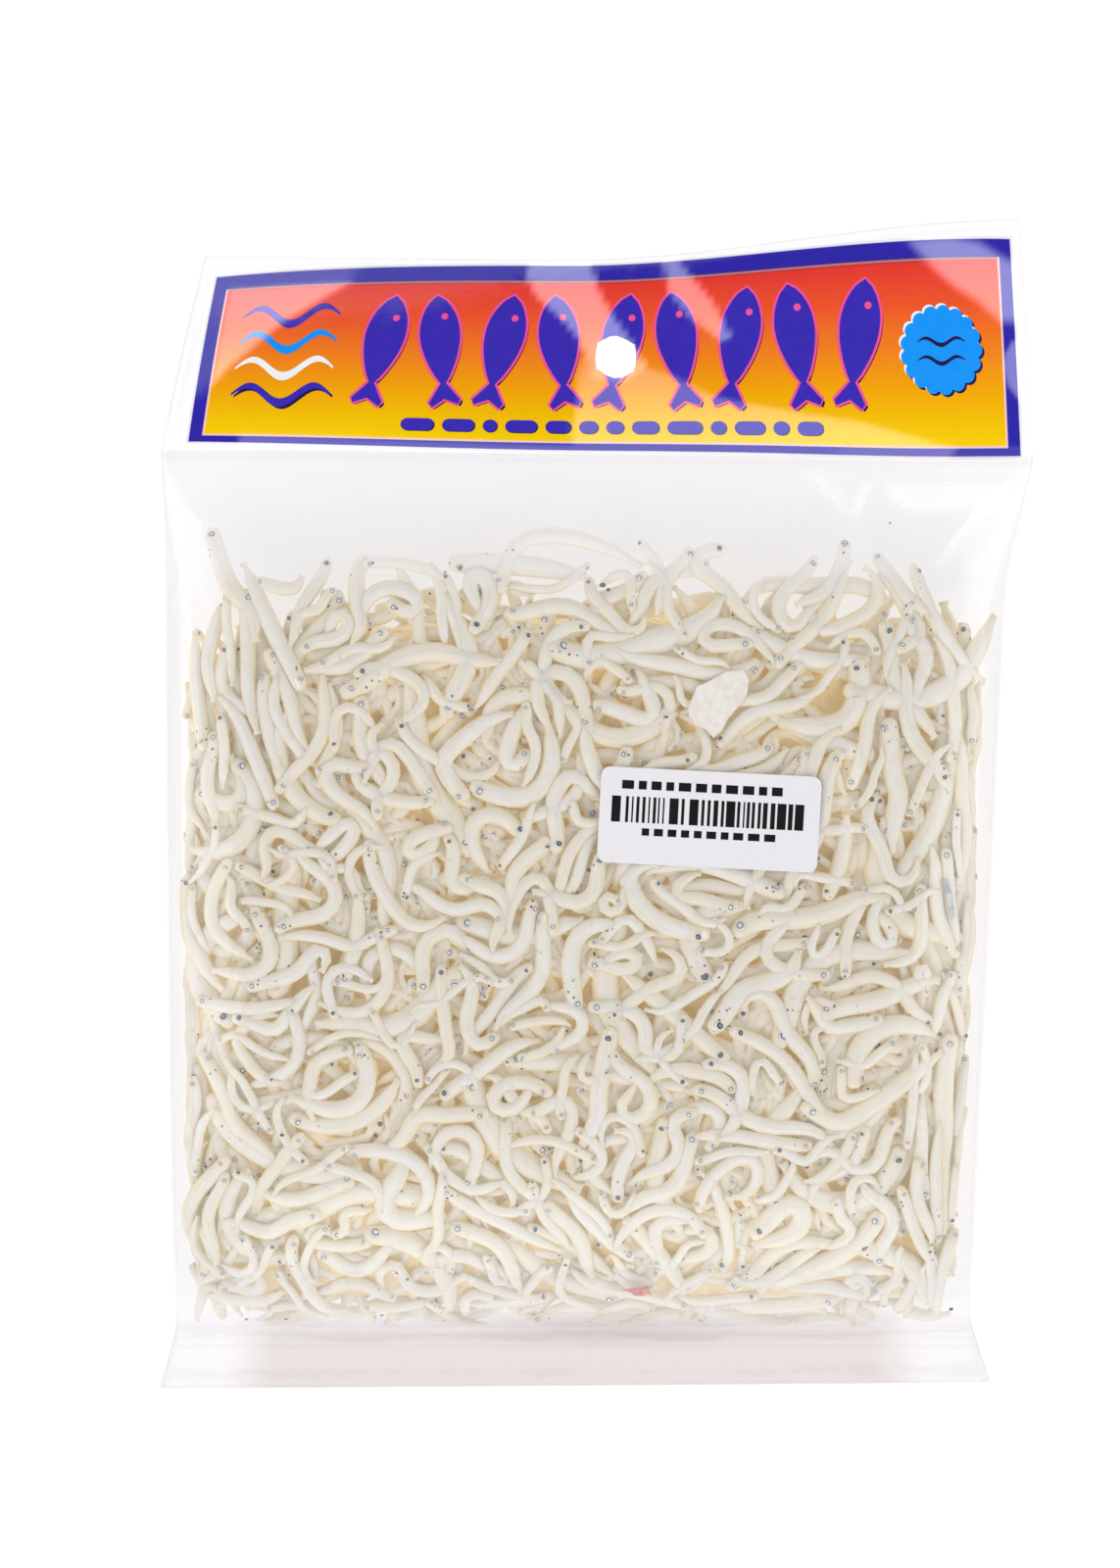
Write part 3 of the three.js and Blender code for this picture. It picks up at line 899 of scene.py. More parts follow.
# %% Draw a fish
FOLD_MIDDLE, FOLD_HALF, *_ = cross_section(MAP_Y)
ALIGNED_SIDE = 0.84
ALIGNED_BOTTOM = -76
UPPER_LEFT = (-43, 10)
FOLD_MARGIN = 3.2
TURNED = {"side": 0.25, "bottom": 0.5}  # how unevenly the film has turned the fish near it
CALMED = {"side": 0.4, "bottom": 0.6}  # what these fish keep of their bends
BENDS = {"even": 1.4, "most": 3.6, "wave": 0.5, "hook": 0.7, "crook": (0.8, 2.4)}
CROOKED = 0.45  # share of the fish that have a sharp bend
CROOK_PLACES = (0.2, 0.8)
FOLD_ROOM = 1.6
STANDING_OUT = 3  # how far an end may stand out of the heap's upper edge
LOWEST_FISH = -81
luck = np.random.default_rng(41)


def draw_fish(heap, size, places):
    """A fish of a size class, in the roomiest of a few places in the heap"""
    sideways_share = luck.uniform(-1, 1, places)
    low = LOWEST_FISH + 1
    high = heap["top"] - FILL_CORNERS["drop"] * np.abs(sideways_share) ** FILL_CORNERS["power"]
    y = low + (high - low) * luck.random(places) ** size["crowding"]
    rows = ((y - MAP_Y[0]) / CELL).astype(int)
    x = FOLD_MIDDLE[rows] + sideways_share * (FOLD_HALF[rows] - FOLD_MARGIN)
    spots = cells(np.stack([x, y], -1))
    rooms = heap["roof"][spots] - heap["height"][spots]
    best = np.argmax(rooms)
    x, y = x[best], y[best]
    middle, half = FOLD_MIDDLE[rows[best]], FOLD_HALF[rows[best]]
    heading = luck.uniform(0, 2 * math.pi)
    curl = size["curl"]
    if abs(x - middle) / half > ALIGNED_SIDE or (x < UPPER_LEFT[0] and y > UPPER_LEFT[1]):
        heading = luck.choice([0.5, 1.5]) * math.pi + luck.normal(0, TURNED["side"])
        curl *= CALMED["side"]
    elif y < ALIGNED_BOTTOM:
        heading = luck.choice([0, 1]) * math.pi + luck.normal(0, TURNED["bottom"])
        curl *= CALMED["bottom"]
    return {
        "kind": size["kind"],
        "room": rooms[best],
        "x": x,
        "y": y,
        "heading": heading,
        "length": luck.uniform(*size["length"]),
        "radius": luck.uniform(*size["radius"]),
        "bend": float(np.clip(luck.normal(0, BENDS["even"]), -BENDS["most"], BENDS["most"])) * curl,
        "wave": luck.normal(0, BENDS["wave"]) * curl,
        "hook": luck.normal(0, BENDS["hook"]) * curl,
        "crook": (luck.random() < CROOKED) * luck.choice([-1, 1]) * luck.uniform(*BENDS["crook"]) * curl,
        "crook_at": luck.uniform(*CROOK_PLACES),
    }


def inside_bag(heap, line, radius):
    """True if a fish stays in the heap, with its ends free to stand out of the upper edge a little"""
    x, y = line[:, 0], line[:, 1]
    row, _ = cells(line)
    off_middle = np.abs(x - FOLD_MIDDLE[row])
    between_folds = (off_middle < FOLD_HALF[row] - radius - FOLD_ROOM).all()
    centre = LINE_POINTS // 2
    share = min(1, off_middle[centre] / FOLD_HALF[row[centre]])
    top = heap["top"] - FILL_CORNERS["drop"] * share ** FILL_CORNERS["power"]
    low_enough = y[centre] < top and y.max() < heap["top"] + STANDING_OUT
    return bool(between_folds and low_enough and y.min() > LOWEST_FISH + radius)


# %% [markdown]
# The places of the large fish are kept free: while the fish below them are laid, the roof there is as
# low as their bellies. The few fish that stand out of the heap's upper edge follow the photo.

# %% Fill the heaps
LARGE_BELOW_FILM = (0.1, 0.9)  # depth of the large fish, so that small ones may lie across them
LARGE_BELLY = 0.3  # how far below its line a large fish keeps the others away, as a share of its radius
STOUT_FROM = 1.3
LOOSE_PRESSING = 9
BACK_TRIES = 0.45  # share of those tries for the underside
BACK_LOWERED = 7  # the underside's upper edge lies lower, so the white ground shows between the last fish
LOOSE_FISH = [  # those that stand out of the heap's upper edge: kind, thickness, points along them
    ("stout", 1.5, [(-57.1, 44.1), (-56.3, 40.8), (-54.1, 35.2), (-50.8, 31.5), (-50.2, 27.0)]),
    ("slim", 1.1, [(-50.2, 36.2), (-48.2, 35.6), (-45.8, 35.0), (-44.2, 35.3), (-43.2, 37.0)]),
    ("slim", 1.25, [(-13.2, 34.3), (-12.4, 38.9), (-9.8, 42.3), (-3.8, 42.9), (2.9, 41.1), (8.0, 38.4)]),
    ("slim", 1.2, [(15.6, 41.1), (13.7, 38.6), (11.8, 36.4), (10.2, 31)]),
    ("small", 0.8, [(7.6, 42.3), (9.4, 40.2), (10.6, 38.2), (11.2, 34.5)]),
    ("slim", 1.25, [(38.7, 42.3), (38.2, 39.3), (37.0, 36.4), (35.2, 34.3), (31, 32.6)]),
    ("small", 0.9, [(-33.9, 38.9), (-29.8, 39.0), (-25.0, 38.2), (-21.5, 36.4)]),
    ("slim", 1.2, [(43.2, 40.2), (45.1, 37.4), (48.1, 33.7), (51.8, 31.0)]),
]
laid = []  # every fish with the place, level and thickness of its line


def lay(heap, fish, level, line, radii):
    press_in(heap, line, level, radii)
    upright = level if heap["side"] == "front" else -level
    depth = float((heap["film"][cells(line)] - level - FLATNESS * radii).min())
    laid.append({**fish, "level": upright, "side": heap["side"], "depth": depth})


def fill(heap, stages, effort):
    for stage in [dict(zip(STAGE_KEYS, row)) for row in stages]:
        heap["roof"] = np.minimum(heap["film"] - stage["below_film"], heap["cover"])
        heap["top"] = FISH_AREA["top"] - stage["low"] - (BACK_LOWERED if heap["side"] == "back" else 0)
        for _ in range(int(stage["tries"] * effort)):
            size = FILL_SIZES[luck.choice(len(FILL_SIZES), p=stage["chances"])]
            fish = draw_fish(heap, size, stage["places"])
            line = middle_line(fish)
            fits = fish["room"] > stage["room"] and on_map(line) and inside_bag(heap, line, fish["radius"])
            if not fits:
                continue
            radii = thickness_along(fish["radius"])
            level = rest_on(heap, line, radii, stage["pressing"])
            if level is not None:
                lay(heap, fish, level, line, radii)


front_heap, back_heap = new_heap("front"), new_heap("back")
large_places = []
for fish in shown_fish:
    line = middle_line(fish)
    radii = thickness_along(fish["radius"])
    fish["kind"] = "stout" if fish["radius"] > STOUT_FROM else "slim"
    level = front_heap["film"][cells(line)] - FLATNESS * radii - luck.uniform(*LARGE_BELOW_FILM)
    large_places.append((fish, level, line, radii))
    spots = cells(spots_across(line, ACROSS_FINE, radii))
    np.minimum.at(front_heap["cover"], spots, (level - LARGE_BELLY * radii)[:, None])
fill(front_heap, BED_STAGES, 1)
front_heap["cover"] = front_heap["film"]
for place in large_places:
    lay(front_heap, *place)
fill(front_heap, TOP_STAGES, 1)
fill(back_heap, BED_STAGES + TOP_STAGES, BACK_TRIES)
for kind, radius, through in LOOSE_FISH:
    fish = {"kind": kind, "radius": radius, "through": through}
    line, radii = middle_line(fish), thickness_along(radius)
    lay(front_heap, fish, rest_on(front_heap, line, radii, LOOSE_PRESSING), line, radii)

# %% [markdown]
# Under the two layers the heap has a plain core, which is made further down. From the side, or from the
# header's end, one would see it between the upper and the lower fish. So a wall of small fish lies
# round it, along its outline, one above the other.

# %% Fish round the heap's core
CORE = {"bottom": -74, "top": 28, "drop": 11, "width": 0.92, "front": 3.4, "back": 2.8}
CORE_CORNERS = 0.1  # how far the core narrows at its two ends, as a share of its width
WALL = {"rows": 5, "length": (12, 19), "radius": (0.85, 1.2), "out": 1.1, "uneven": 0.35, "points": 5}
WALL |= {"tilt": 0.15, "apart": (0.75, 1)}
WALL_ROOM = {"most": 3, "share": 0.33}  # how far a wall stays away from the films
EDGE_SPACING = 0.75


def edge_spaced(u):
    """Moves even steps closer together towards both ends"""
    return u * (1 - EDGE_SPACING) + np.sin(u * np.pi / 2) * EDGE_SPACING


def core_place(u, v):
    top = CORE["top"] - CORE["drop"] * np.abs(u) ** FILL_CORNERS["power"]
    y = CORE["bottom"] + (top - CORE["bottom"]) * v
    middle, half, *_ = cross_section(y)
    corner = 1 - CORE_CORNERS * np.abs(2 * v - 1) ** 6
    return middle + edge_spaced(u) * half * CORE["width"] * corner, y


def core_outline():
    """Points up the core's left side, over its upper edge and down its right side"""
    along = np.linspace(0.03, 1, 60)
    ends = np.ones_like(along)
    u = np.concatenate([-ends, np.linspace(-1, 1, 60), ends])
    v = np.concatenate([along, ends, along[::-1]])
    x, y = core_place(u, v)
    return np.column_stack([x, y])


def wall_fish(path, travelled, start, height):
    """A fish that lies along the outline, at a share of the height between the films"""
    length, radius = luck.uniform(*WALL["length"]), luck.uniform(*WALL["radius"])
    at = start + length * np.linspace(0, 1, WALL["points"])
    on_path = points_at(at, travelled, path)
    out = WALL["out"] + luck.normal(0, WALL["uneven"], len(at))
    fish = {"kind": "small", "radius": radius, "length": length}
    fish["through"] = on_path + sideways(on_path) * out[:, None]
    x, y = middle_line(fish).T
    low, high = back_film(x, y), front_film(x, y)
    room = np.minimum(WALL_ROOM["most"], WALL_ROOM["share"] * (high - low))
    level = low + room + (high - low - 2 * room) * height
    fish["level"] = level + luck.normal(0, WALL["tilt"])
    fish["side"] = "front" if height > 0.5 else "back"
    fish["depth"] = float((high - level if height > 0.5 else level - low).min()) - radius
    return fish


path = core_outline()
travelled = lengths_along(path)
for height in np.linspace(0, 1, WALL["rows"]):
    start = luck.uniform(0, 5)
    while start < travelled[-1] - WALL["length"][1]:
        laid.append(wall_fish(path, travelled, start, height))
        start += laid[-1]["length"] * luck.uniform(*WALL["apart"])
counts = {kind: sum(f["kind"] == kind for f in laid) for kind in ANCHOVIES}
print(len(laid), "fish in the heap:", counts)

# %% [markdown]
# Each laid fish is now a copy of its model, bent along its line. A fish lies on its side, so it is
# rolled by about a quarter turn, and an eye looks up. With every point go two colours that the
# material reads: its place along and round the body, its depth, which drives the painted light, the
# fish's own tone, and how far the point lies on a flank.

# %% Bend copies of the models along their lines
ROLL_SPREAD = 0.4
BODY_HEIGHT = 2.2
DARKEST_DEPTH = 8
BOTTOM_LIT = 0.7  # the lowest fish are lit from the bottom seal too
CURVE_POINTS = 49
CURVE_SHARES = np.linspace(0, 1, CURVE_POINTS)


def line_in_space(fish):
    level = np.interp(CURVE_SHARES, LINE_SHARES, fish["level"])
    return np.column_stack([middle_line(fish, CURVE_POINTS), level])


def body_frame(line, shares):
    """Place, forward, sideways and upward directions at shares along a line"""
    along = np.gradient(line, axis=0)
    along /= np.linalg.norm(along, axis=1, keepdims=True)
    at, forward = points_at(shares, CURVE_SHARES, line), points_at(shares, CURVE_SHARES, along)
    forward /= np.linalg.norm(forward, axis=1, keepdims=True)
    side = np.cross((0, 0, 1), forward)
    side /= np.linalg.norm(side, axis=1, keepdims=True)
    return at, forward, side, np.cross(forward, side)


def rolled(model, fish):
    """How far the points of a model lie across and above its line once the fish is rolled"""
    turn = fish["roll"]
    across = model[:, 1] * math.cos(turn) - model[:, 2] * math.sin(turn)
    return across, model[:, 1] * math.sin(turn) + model[:, 2] * math.cos(turn)


def bent_copy(model, fish):
    """The points of a model laid along a fish's line"""
    at, _, side, up = body_frame(line_in_space(fish), model[:, 0])
    across, upward = rolled(model, fish)
    return at + fish["radius"] * (across[:, None] * side + FLATNESS * upward[:, None] * up)


def join_copies(name, model, rows_of_points, rows_of_colours):
    """One mesh of many copies of a model that differ in place and colour"""
    count, size = len(rows_of_points), len(model.data.vertices)
    loops = np.array([v for face in model.data.polygons for v in face.vertices])
    lengths = np.array([len(face.vertices) for face in model.data.polygons])
    all_loops = (loops[None] + np.arange(count)[:, None] * size).ravel()
    all_lengths = np.tile(lengths, count)
    mesh = bpy.data.meshes.new(name)
    mesh.vertices.add(count * size)
    mesh.vertices.foreach_set("co", (np.concatenate(rows_of_points) * MM).ravel())
    mesh.loops.add(len(all_loops))
    mesh.loops.foreach_set("vertex_index", all_loops)
    mesh.polygons.add(len(all_lengths))
    starts = np.concatenate([[0], np.cumsum(all_lengths)[:-1]])
    mesh.polygons.foreach_set("loop_start", starts)
    mesh.polygons.foreach_set("use_smooth", np.ones(len(all_lengths), bool))
    mesh.update(calc_edges=True)
    piece = bpy.data.objects.new(name, mesh)
    bpy.context.scene.collection.objects.link(piece)
    paint_points(piece, "tone", np.concatenate(rows_of_colours))
    return piece


def fish_colours(model, fish, points):
    """Place along the body, between back and belly, depth under the film, and warmth"""
    x, y, z = points.T
    depth = front_film(x, y) - z if fish["side"] == "front" else z - back_film(x, y)
    middle, half, *_ = cross_section(y)
    depth = depth * fullness((x - middle) / half) * (1 - BOTTOM_LIT * rising(y, -58, -14))
    round_body = 0.5 + model[:, 2] / BODY_HEIGHT
    warmth = np.full(len(model), fish["warmth"])
    return np.column_stack([model[:, 0], round_body, np.clip(depth / DARKEST_DEPTH, 0, 1), warmth])


def flank_share(model, fish):
    """0 on the upper and lower side of a laid fish and 1 on its flanks"""
    across, upward = rolled(model, fish)
    return 1 - np.abs(upward) / np.maximum(1e-6, np.hypot(FLATNESS * across, upward))


for fish in laid:
    fish["roll"] = luck.choice([-0.5, 0.5]) * math.pi + luck.normal(0, ROLL_SPREAD)
    fish["warmth"] = luck.random()

fish_pieces = []
for kind, model in ANCHOVIES.items():
    shape = places(model)
    school = [fish for fish in laid if fish["kind"] == kind]
    rows = [bent_copy(shape, fish) for fish in school]
    colours = [fish_colours(shape, fish, points) for fish, points in zip(school, rows)]
    piece = join_copies(f"{kind}_anchovies", model, rows, colours)
    flank = np.concatenate([flank_share(shape, fish) for fish in school])
    paint_points(piece, "lie", np.column_stack([flank] * 4))
    settle(piece)
    fish_pieces.append(piece)

# %% [markdown]
# The eyes sit on the sides of each head. Only those that look at a film are set, because no others show.

# %% Set the eyes
EYE_PLACE = {"share": 0.065, "out": 0.79, "sunk": 0.28}  # along, beside and into the body
EYE_SIZE = {"share": 0.46, "least": 0.42, "spread": (0.8, 1.15)}
EYE_DEPTH = 3.6


def eye_points(shape, fish):
    """The eye of a fish that looks up, or down in the heap's lower half"""
    at, forward, side, up = body_frame(line_in_space(fish), np.array([EYE_PLACE["share"]]))
    turn, size = fish["roll"], fish["radius"]
    facing = 1 if (math.sin(turn) > 0) == (fish["side"] == "front") else -1
    out = facing * (side * math.cos(turn) + up * math.sin(turn))
    on_body = facing * (side * math.cos(turn) + FLATNESS * up * math.sin(turn))
    around = np.cross(out, forward)
    radius = max(EYE_SIZE["least"], EYE_SIZE["share"] * size) * fish["eye"]
    return (
        at
        + on_body * EYE_PLACE["out"] * size
        + out * (shape[:, 2:] - EYE_PLACE["sunk"]) * radius
        + forward * shape[:, :1] * radius
        + around * shape[:, 1:2] * radius
    )


eye_shape = places(eye)
eye_ring = np.hypot(eye_shape[:, 0], eye_shape[:, 1])
rows, colours = [], []
for fish in laid:
    fish["eye"] = luck.uniform(*EYE_SIZE["spread"])
    if fish["depth"] < EYE_DEPTH:
        rows.append(eye_points(eye_shape, fish))
        tones = np.full(len(eye_shape), luck.random())
        colours.append(np.column_stack([eye_ring, tones, tones, tones]))
eyes = join_copies("anchovy_eyes", eye, rows, colours)
settle(eyes)
for model in [*ANCHOVIES.values(), eye]:
    bpy.data.objects.remove(model)

# %% [markdown]
# ## Skin of the fish
#
# Dried anchovies are creamy white and let a little light in, so the light that has been between them
# comes out ochre. That light is painted: the deeper a point lies, the yellower its colour, and a weak
# glow that grows with the depth stands for that light. The flanks are painted yellower too, as light
# that shines through the thin edges. Heads and tails are a touch yellower, a faint grey line runs along
# each side, and dark specks sit near the head. The loose fish at the heap's upper edge are painted
# paler and glow a little more, because the white ground lights them from all sides.

# %% Fish material
skin = Finish("dried_anchovy_skin")
along, round_body, depth, own_warmth = skin.points("tone")
mottle = skin.noise(450, 3)
cream = skin.blend(own_warmth, paint(232, 230, 224), paint(233, 227, 211))
flesh = skin.blend(skin.step(mottle, 0.4, 0.8), cream, paint(229, 222, 206))
head, tail = skin.rest(skin.step(along, 0.06, 0.2)), skin.step(along, 0.8, 1.0)
ends = skin.times(skin.maths("MAXIMUM", head, tail), 0.5)
warm_ends = skin.blend(ends, flesh, paint(228, 215, 186))
flank = skin.step(skin.points("lie")[0], 0.1, 0.75)
# Painted light: the flanks are yellower, as light shining through the thin edges.
lit_through_flanks = skin.blend(skin.times(flank, 0.7), warm_ends, paint(245, 228, 182))
# Painted light: deeper points are yellower, as the warm light that has passed between the fish.
deep = skin.step(depth, 0.16, 0.5)
shaded = skin.blend(deep, lit_through_flanks, paint(245, 226, 178))
line_distance = skin.maths("ABSOLUTE", skin.maths("SUBTRACT", round_body, 0.52))
side_line = skin.times(skin.rest(skin.step(line_distance, 0.02, 0.11)), 0.16)
lined = skin.blend(side_line, shaded, paint(190, 184, 178))
loose = skin.times(skin.step(skin.across_and_along(skin.place())[1], 0.034, 0.042), 0.75)
paled = skin.blend(loose, lined, paint(240, 236, 232))
grains = skin.node("ShaderNodeTexVoronoi", Vector=skin.place(), Scale=900, Randomness=1)
small_dot = skin.rest(skin.step(grains.outputs["Distance"], 0.12, 0.26))
rare = skin.step(skin.noise(260, 1), 0.53, 0.58)
near_head = skin.rest(skin.step(along, 0.12, 0.4))
dots = skin.times(small_dot, skin.times(rare, near_head))
# Painted light: a weak glow over all of the skin, stronger in depth and on the loose fish.
glow = skin.maths("ADD", 0.07, skin.times(deep, 0.1))
glow = skin.maths("ADD", glow, skin.times(loose, 0.12))
skin.set(
    Base_Color=skin.blend(dots, paled, paint(84, 84, 88)),
    Roughness=skin.maths("ADD", 0.34, skin.times(mottle, 0.2)),
    Specular_IOR_Level=0.35,
    Emission_Color=skin.blend(deep, paint(246, 240, 228), paint(250, 228, 170)),
    Emission_Strength=skin.times(glow, skin.rest(dots)),
    Subsurface_Weight=0.3,
    Subsurface_Radius=(1.0, 0.92, 0.75),
    Subsurface_Scale=0.0014,
)
skin.bump(skin.noise(1400, 2), 0.00008, 0.4)
for piece in fish_pieces:
    dress(piece, skin)

# %% [markdown]
# The scraps and some dark specks are filled outlines, thickened a little and laid under the film.

# %% Scraps among the fish
SCRAP_LOOKS = {  # depth under the film, light colour, dark colour, roughness
    "white_flake": (0.2, (244, 240, 234), (236, 228, 216), 0.45),
    "shell_chip": (0.12, (226, 122, 92), (178, 70, 48), 0.35),
    "skin_strip": (0.12, (206, 210, 214), (150, 156, 164), 0.2),
}
SCRAP_THICKNESS = 0.3
SPECK_PLACES = [  # x, y and half the size
    *[(2.1, 35.6, 0.5), (2.9, 34.9, 0.35), (-46.4, -47.4, 0.35), (-31.9, -77.3, 0.3), (-46.9, -78.3, 0.3)],
    *[(-53.1, -78.4, 0.3), (56.3, -76.5, 0.35), (45.4, 44.9, 0.18), (36.6, 33.8, 0.2)],
]
SPECK_DEPTH = 0.05
SPECK_THICKNESS = 0.25


def filled_outline(outline):
    """A flat face with the given outline, open in edit mode and all selected"""
    bpy.ops.object.select_all(action="DESELECT")
    bpy.ops.mesh.primitive_circle_add(vertices=len(outline), radius=1, fill_type="NGON")
    shape = bpy.context.object
    set_places(shape, np.column_stack([outline, np.zeros(len(outline))]))
    open_mesh(shape)
    bpy.ops.mesh.select_all(action="SELECT")
    return shape


def disc(radius, points):
    angle = np.linspace(0, 2 * np.pi, points, endpoint=False)
    return radius * np.column_stack([np.cos(angle), np.sin(angle)])


def lay_scrap(outline, depth, thickness):
    """A thin piece of a given outline that lies at a depth under the front film"""
    scrap = filled_outline(np.array(outline, float) * MM)
    bpy.ops.mesh.normals_make_consistent(inside=False)
    bpy.ops.mesh.inset(thickness=0.15 * thickness * MM)
    bpy.ops.mesh.extrude_region_move(TRANSFORM_OT_translate={"value": (0, 0, thickness * MM)})
    bpy.ops.mesh.select_all(action="SELECT")
    bpy.ops.mesh.quads_convert_to_tris(ngon_method="BEAUTY")
    bpy.ops.mesh.normals_make_consistent(inside=False)
    close_mesh()
    x, y, z = (places(scrap) / MM).T
    set_places(scrap, np.column_stack([x, y, z - thickness - depth + front_film(x, y)]) * MM)
    return scrap


def join(pieces, name):
    """Joins pieces into the first of them"""
    choose(pieces[0])
    for piece in pieces:
        piece.select_set(True)
    if len(pieces) > 1:
        bpy.ops.object.join()
    pieces[0].name = name
    return pieces[0]


round_speck = disc(1, 7) * (1, 0.8)
specks = [lay_scrap(round_speck * r + (x, y), SPECK_DEPTH, SPECK_THICKNESS) for x, y, r in SPECK_PLACES]
dark_specks = join(specks, "dark_specks")
dark_bits = Finish("dark_specks")
speck_colour = dark_bits.blend(dark_bits.noise(800), paint(40, 40, 44), paint(96, 96, 100))
dark_bits.set(Base_Color=speck_colour, Roughness=0.4)
dress(dark_specks, dark_bits)
settle(dark_specks)
for name, (depth, light, dark, roughness) in SCRAP_LOOKS.items():
    scrap = lay_scrap(SCRAPS[name], depth, SCRAP_THICKNESS)
    scrap.name = name
    finish = Finish(name)
    grain = finish.noise(900, 3)
    # Painted light: each scrap glows faintly in its light colour.
    finish.set(
        Base_Color=finish.blend(finish.step(grain, 0.35, 0.65), paint(*light), paint(*dark)),
        Roughness=roughness,
        Emission_Color=paint(*light),
        Emission_Strength=0.08,
    )
    finish.bump(grain, 0.0001, 0.5)
    dress(scrap, finish)
    settle(scrap)

# %% [markdown]
# About a quarter of the eyes have gone dark, and the others keep their white lens.

# %% Eye material
eye_glaze = Finish("dried_fish_eye")
ring, eye_tone, *_ = eye_glaze.points("tone")
black_eye = eye_glaze.step(eye_tone, 0.72, 0.75)
lens = eye_glaze.blend(eye_tone, paint(234, 236, 237), paint(202, 206, 210))
lens = eye_glaze.blend(black_eye, lens, paint(112, 115, 120))
dark_ring = eye_glaze.blend(eye_tone, paint(54, 57, 62), paint(126, 131, 137))
dark_ring = eye_glaze.blend(black_eye, dark_ring, paint(30, 31, 34))
pupil = eye_glaze.blend(eye_glaze.step(ring, 0.4, 0.5), lens, dark_ring)
silver = eye_glaze.blend(eye_glaze.step(ring, 0.62, 0.72), pupil, paint(214, 216, 216))
rim = eye_glaze.blend(eye_glaze.step(ring, 0.9, 1.0), silver, paint(176, 174, 170))
eye_glaze.set(Base_Color=rim, Roughness=0.15)
dress(eyes, eye_glaze)

# %% [markdown]
# ## Closed sheets
#
# The core of the heap, the film and the card are all the same kind of thing: two sheets joined round
# their edge. Each starts as a flat grid. The grid is duplicated in edit mode, its points are moved to
# the front and the back surface by a rule, and the two open edges are bridged.

# %% Make a closed pouch of two sheets
def make_pouch(name, columns, rows, front, back):
    """front and back turn the grid's u, -1 to 1, and v, 0 to 1, into places in millimetres"""
    bpy.ops.object.select_all(action="DESELECT")
    bpy.ops.mesh.primitive_grid_add(x_subdivisions=columns, y_subdivisions=rows, size=2)
    pouch = bpy.context.object
    pouch.name = name
    flat = places(pouch)
    open_mesh(pouch)
    bpy.ops.mesh.select_all(action="SELECT")
    bpy.ops.mesh.duplicate()
    bpy.ops.mesh.flip_normals()
    close_mesh()
    u, v = flat[:, 0], (flat[:, 1] + 1) / 2
    set_places(pouch, np.vstack([front(u, v), back(u, v)]) * MM)
    open_mesh(pouch)
    bpy.ops.mesh.select_mode(type="EDGE")
    bpy.ops.mesh.select_all(action="DESELECT")
    bpy.ops.mesh.select_non_manifold()
    bpy.ops.mesh.bridge_edge_loops()
    bpy.ops.mesh.select_all(action="SELECT")
    bpy.ops.mesh.normals_make_consistent(inside=False)
    close_mesh()
    return pouch, u, v


def punch(piece, x, y, radius):
    """Cuts a round hole through a piece, along Z"""
    bpy.ops.object.select_all(action="DESELECT")
    place = (x * MM, y * MM, 0)
    bpy.ops.mesh.primitive_cylinder_add(vertices=48, radius=radius * MM, depth=0.06, location=place)
    cutter = bpy.context.object
    choose(piece)
    cut = piece.modifiers.new("hole", "BOOLEAN")
    cut.operation = "DIFFERENCE"
    cut.object = cutter
    cut.solver = "EXACT"
    bpy.ops.object.modifier_apply(modifier=cut.name)
    bpy.data.objects.remove(cutter)


def waves(x, y, seed, size, layers):
    """A soft uneven surface, from -1 to 1, made of a few long waves that run every way"""
    numbers = np.random.default_rng(seed)
    total = 0 * x
    for _ in range(layers):
        heading, stretch, start = (numbers.uniform(*limits) for limits in ((0, np.pi), (0.7, 1.5), (0, 6.3)))
        travelled = x * math.cos(heading) + y * math.sin(heading)
        total = total + np.sin(travelled * 2 * np.pi / size * stretch + start)
    return total / layers


# %% [markdown]
# ## Inside the heap
#
# Below the two layers of laid fish the heap is a lumpy core. It shows only as the ochre depth between
# fish, so it is a simple closed form with bumps the size of a fish. Its ochre is partly the colour of
# deeper fish and partly painted warm light, and its faint glow is painted light from the ground that
# passes through the heap.

# %% Core of the heap
LUMPS = {"front": 0.45, "back": 0.4, "size": 5, "layers": 7}
LEAST_HALF = 0.05  # half the core's thickness at its thinnest


def core_front(u, v):
    x, y = core_place(u, v)
    lumps = LUMPS["front"] * waves(x, y, 3, LUMPS["size"], LUMPS["layers"])
    level = np.maximum(bag_middle(x, y) + LEAST_HALF, front_film(x, y) - CORE["front"] + lumps)
    return np.stack([x, y, level], -1)


def core_back(u, v):
    x, y = core_place(u, v)
    lumps = LUMPS["back"] * waves(x, y, 4, LUMPS["size"], LUMPS["layers"])
    level = np.minimum(bag_middle(x, y) - LEAST_HALF, back_film(x, y) + CORE["back"] + lumps)
    return np.stack([x, y, level], -1)


core, _, _ = make_pouch("heap_core", 110, 96, core_front, core_back)
shade_smooth(core)
settle(core)
# Painted light: the core's ochre is partly painted warm light, and its faint glow stands for the ground's
# light.
heap_shade = Finish("heap_shade_and_glow")
patches = heap_shade.step(heap_shade.noise(350, 4, 0.6), 0.35, 0.65)
heap_shade.set(
    Base_Color=heap_shade.blend(patches, paint(232, 203, 140), paint(240, 218, 166)),
    Roughness=0.6,
    Emission_Color=paint(250, 222, 150),
    Emission_Strength=0.05,
)
heap_shade.bump(heap_shade.noise(500, 3), 0.0006, 0.8)
dress(core, heap_shade)

# %% [markdown]
# ## The film
#
# The bag is one thin skin, so the film is a closed pouch with nothing inside but what it wraps. It has
# to look soft: long waves where it is empty, small creases that run from the corners and the seals,
# and fine ribs in the bottom seal. Where it is empty the two films lie close together.

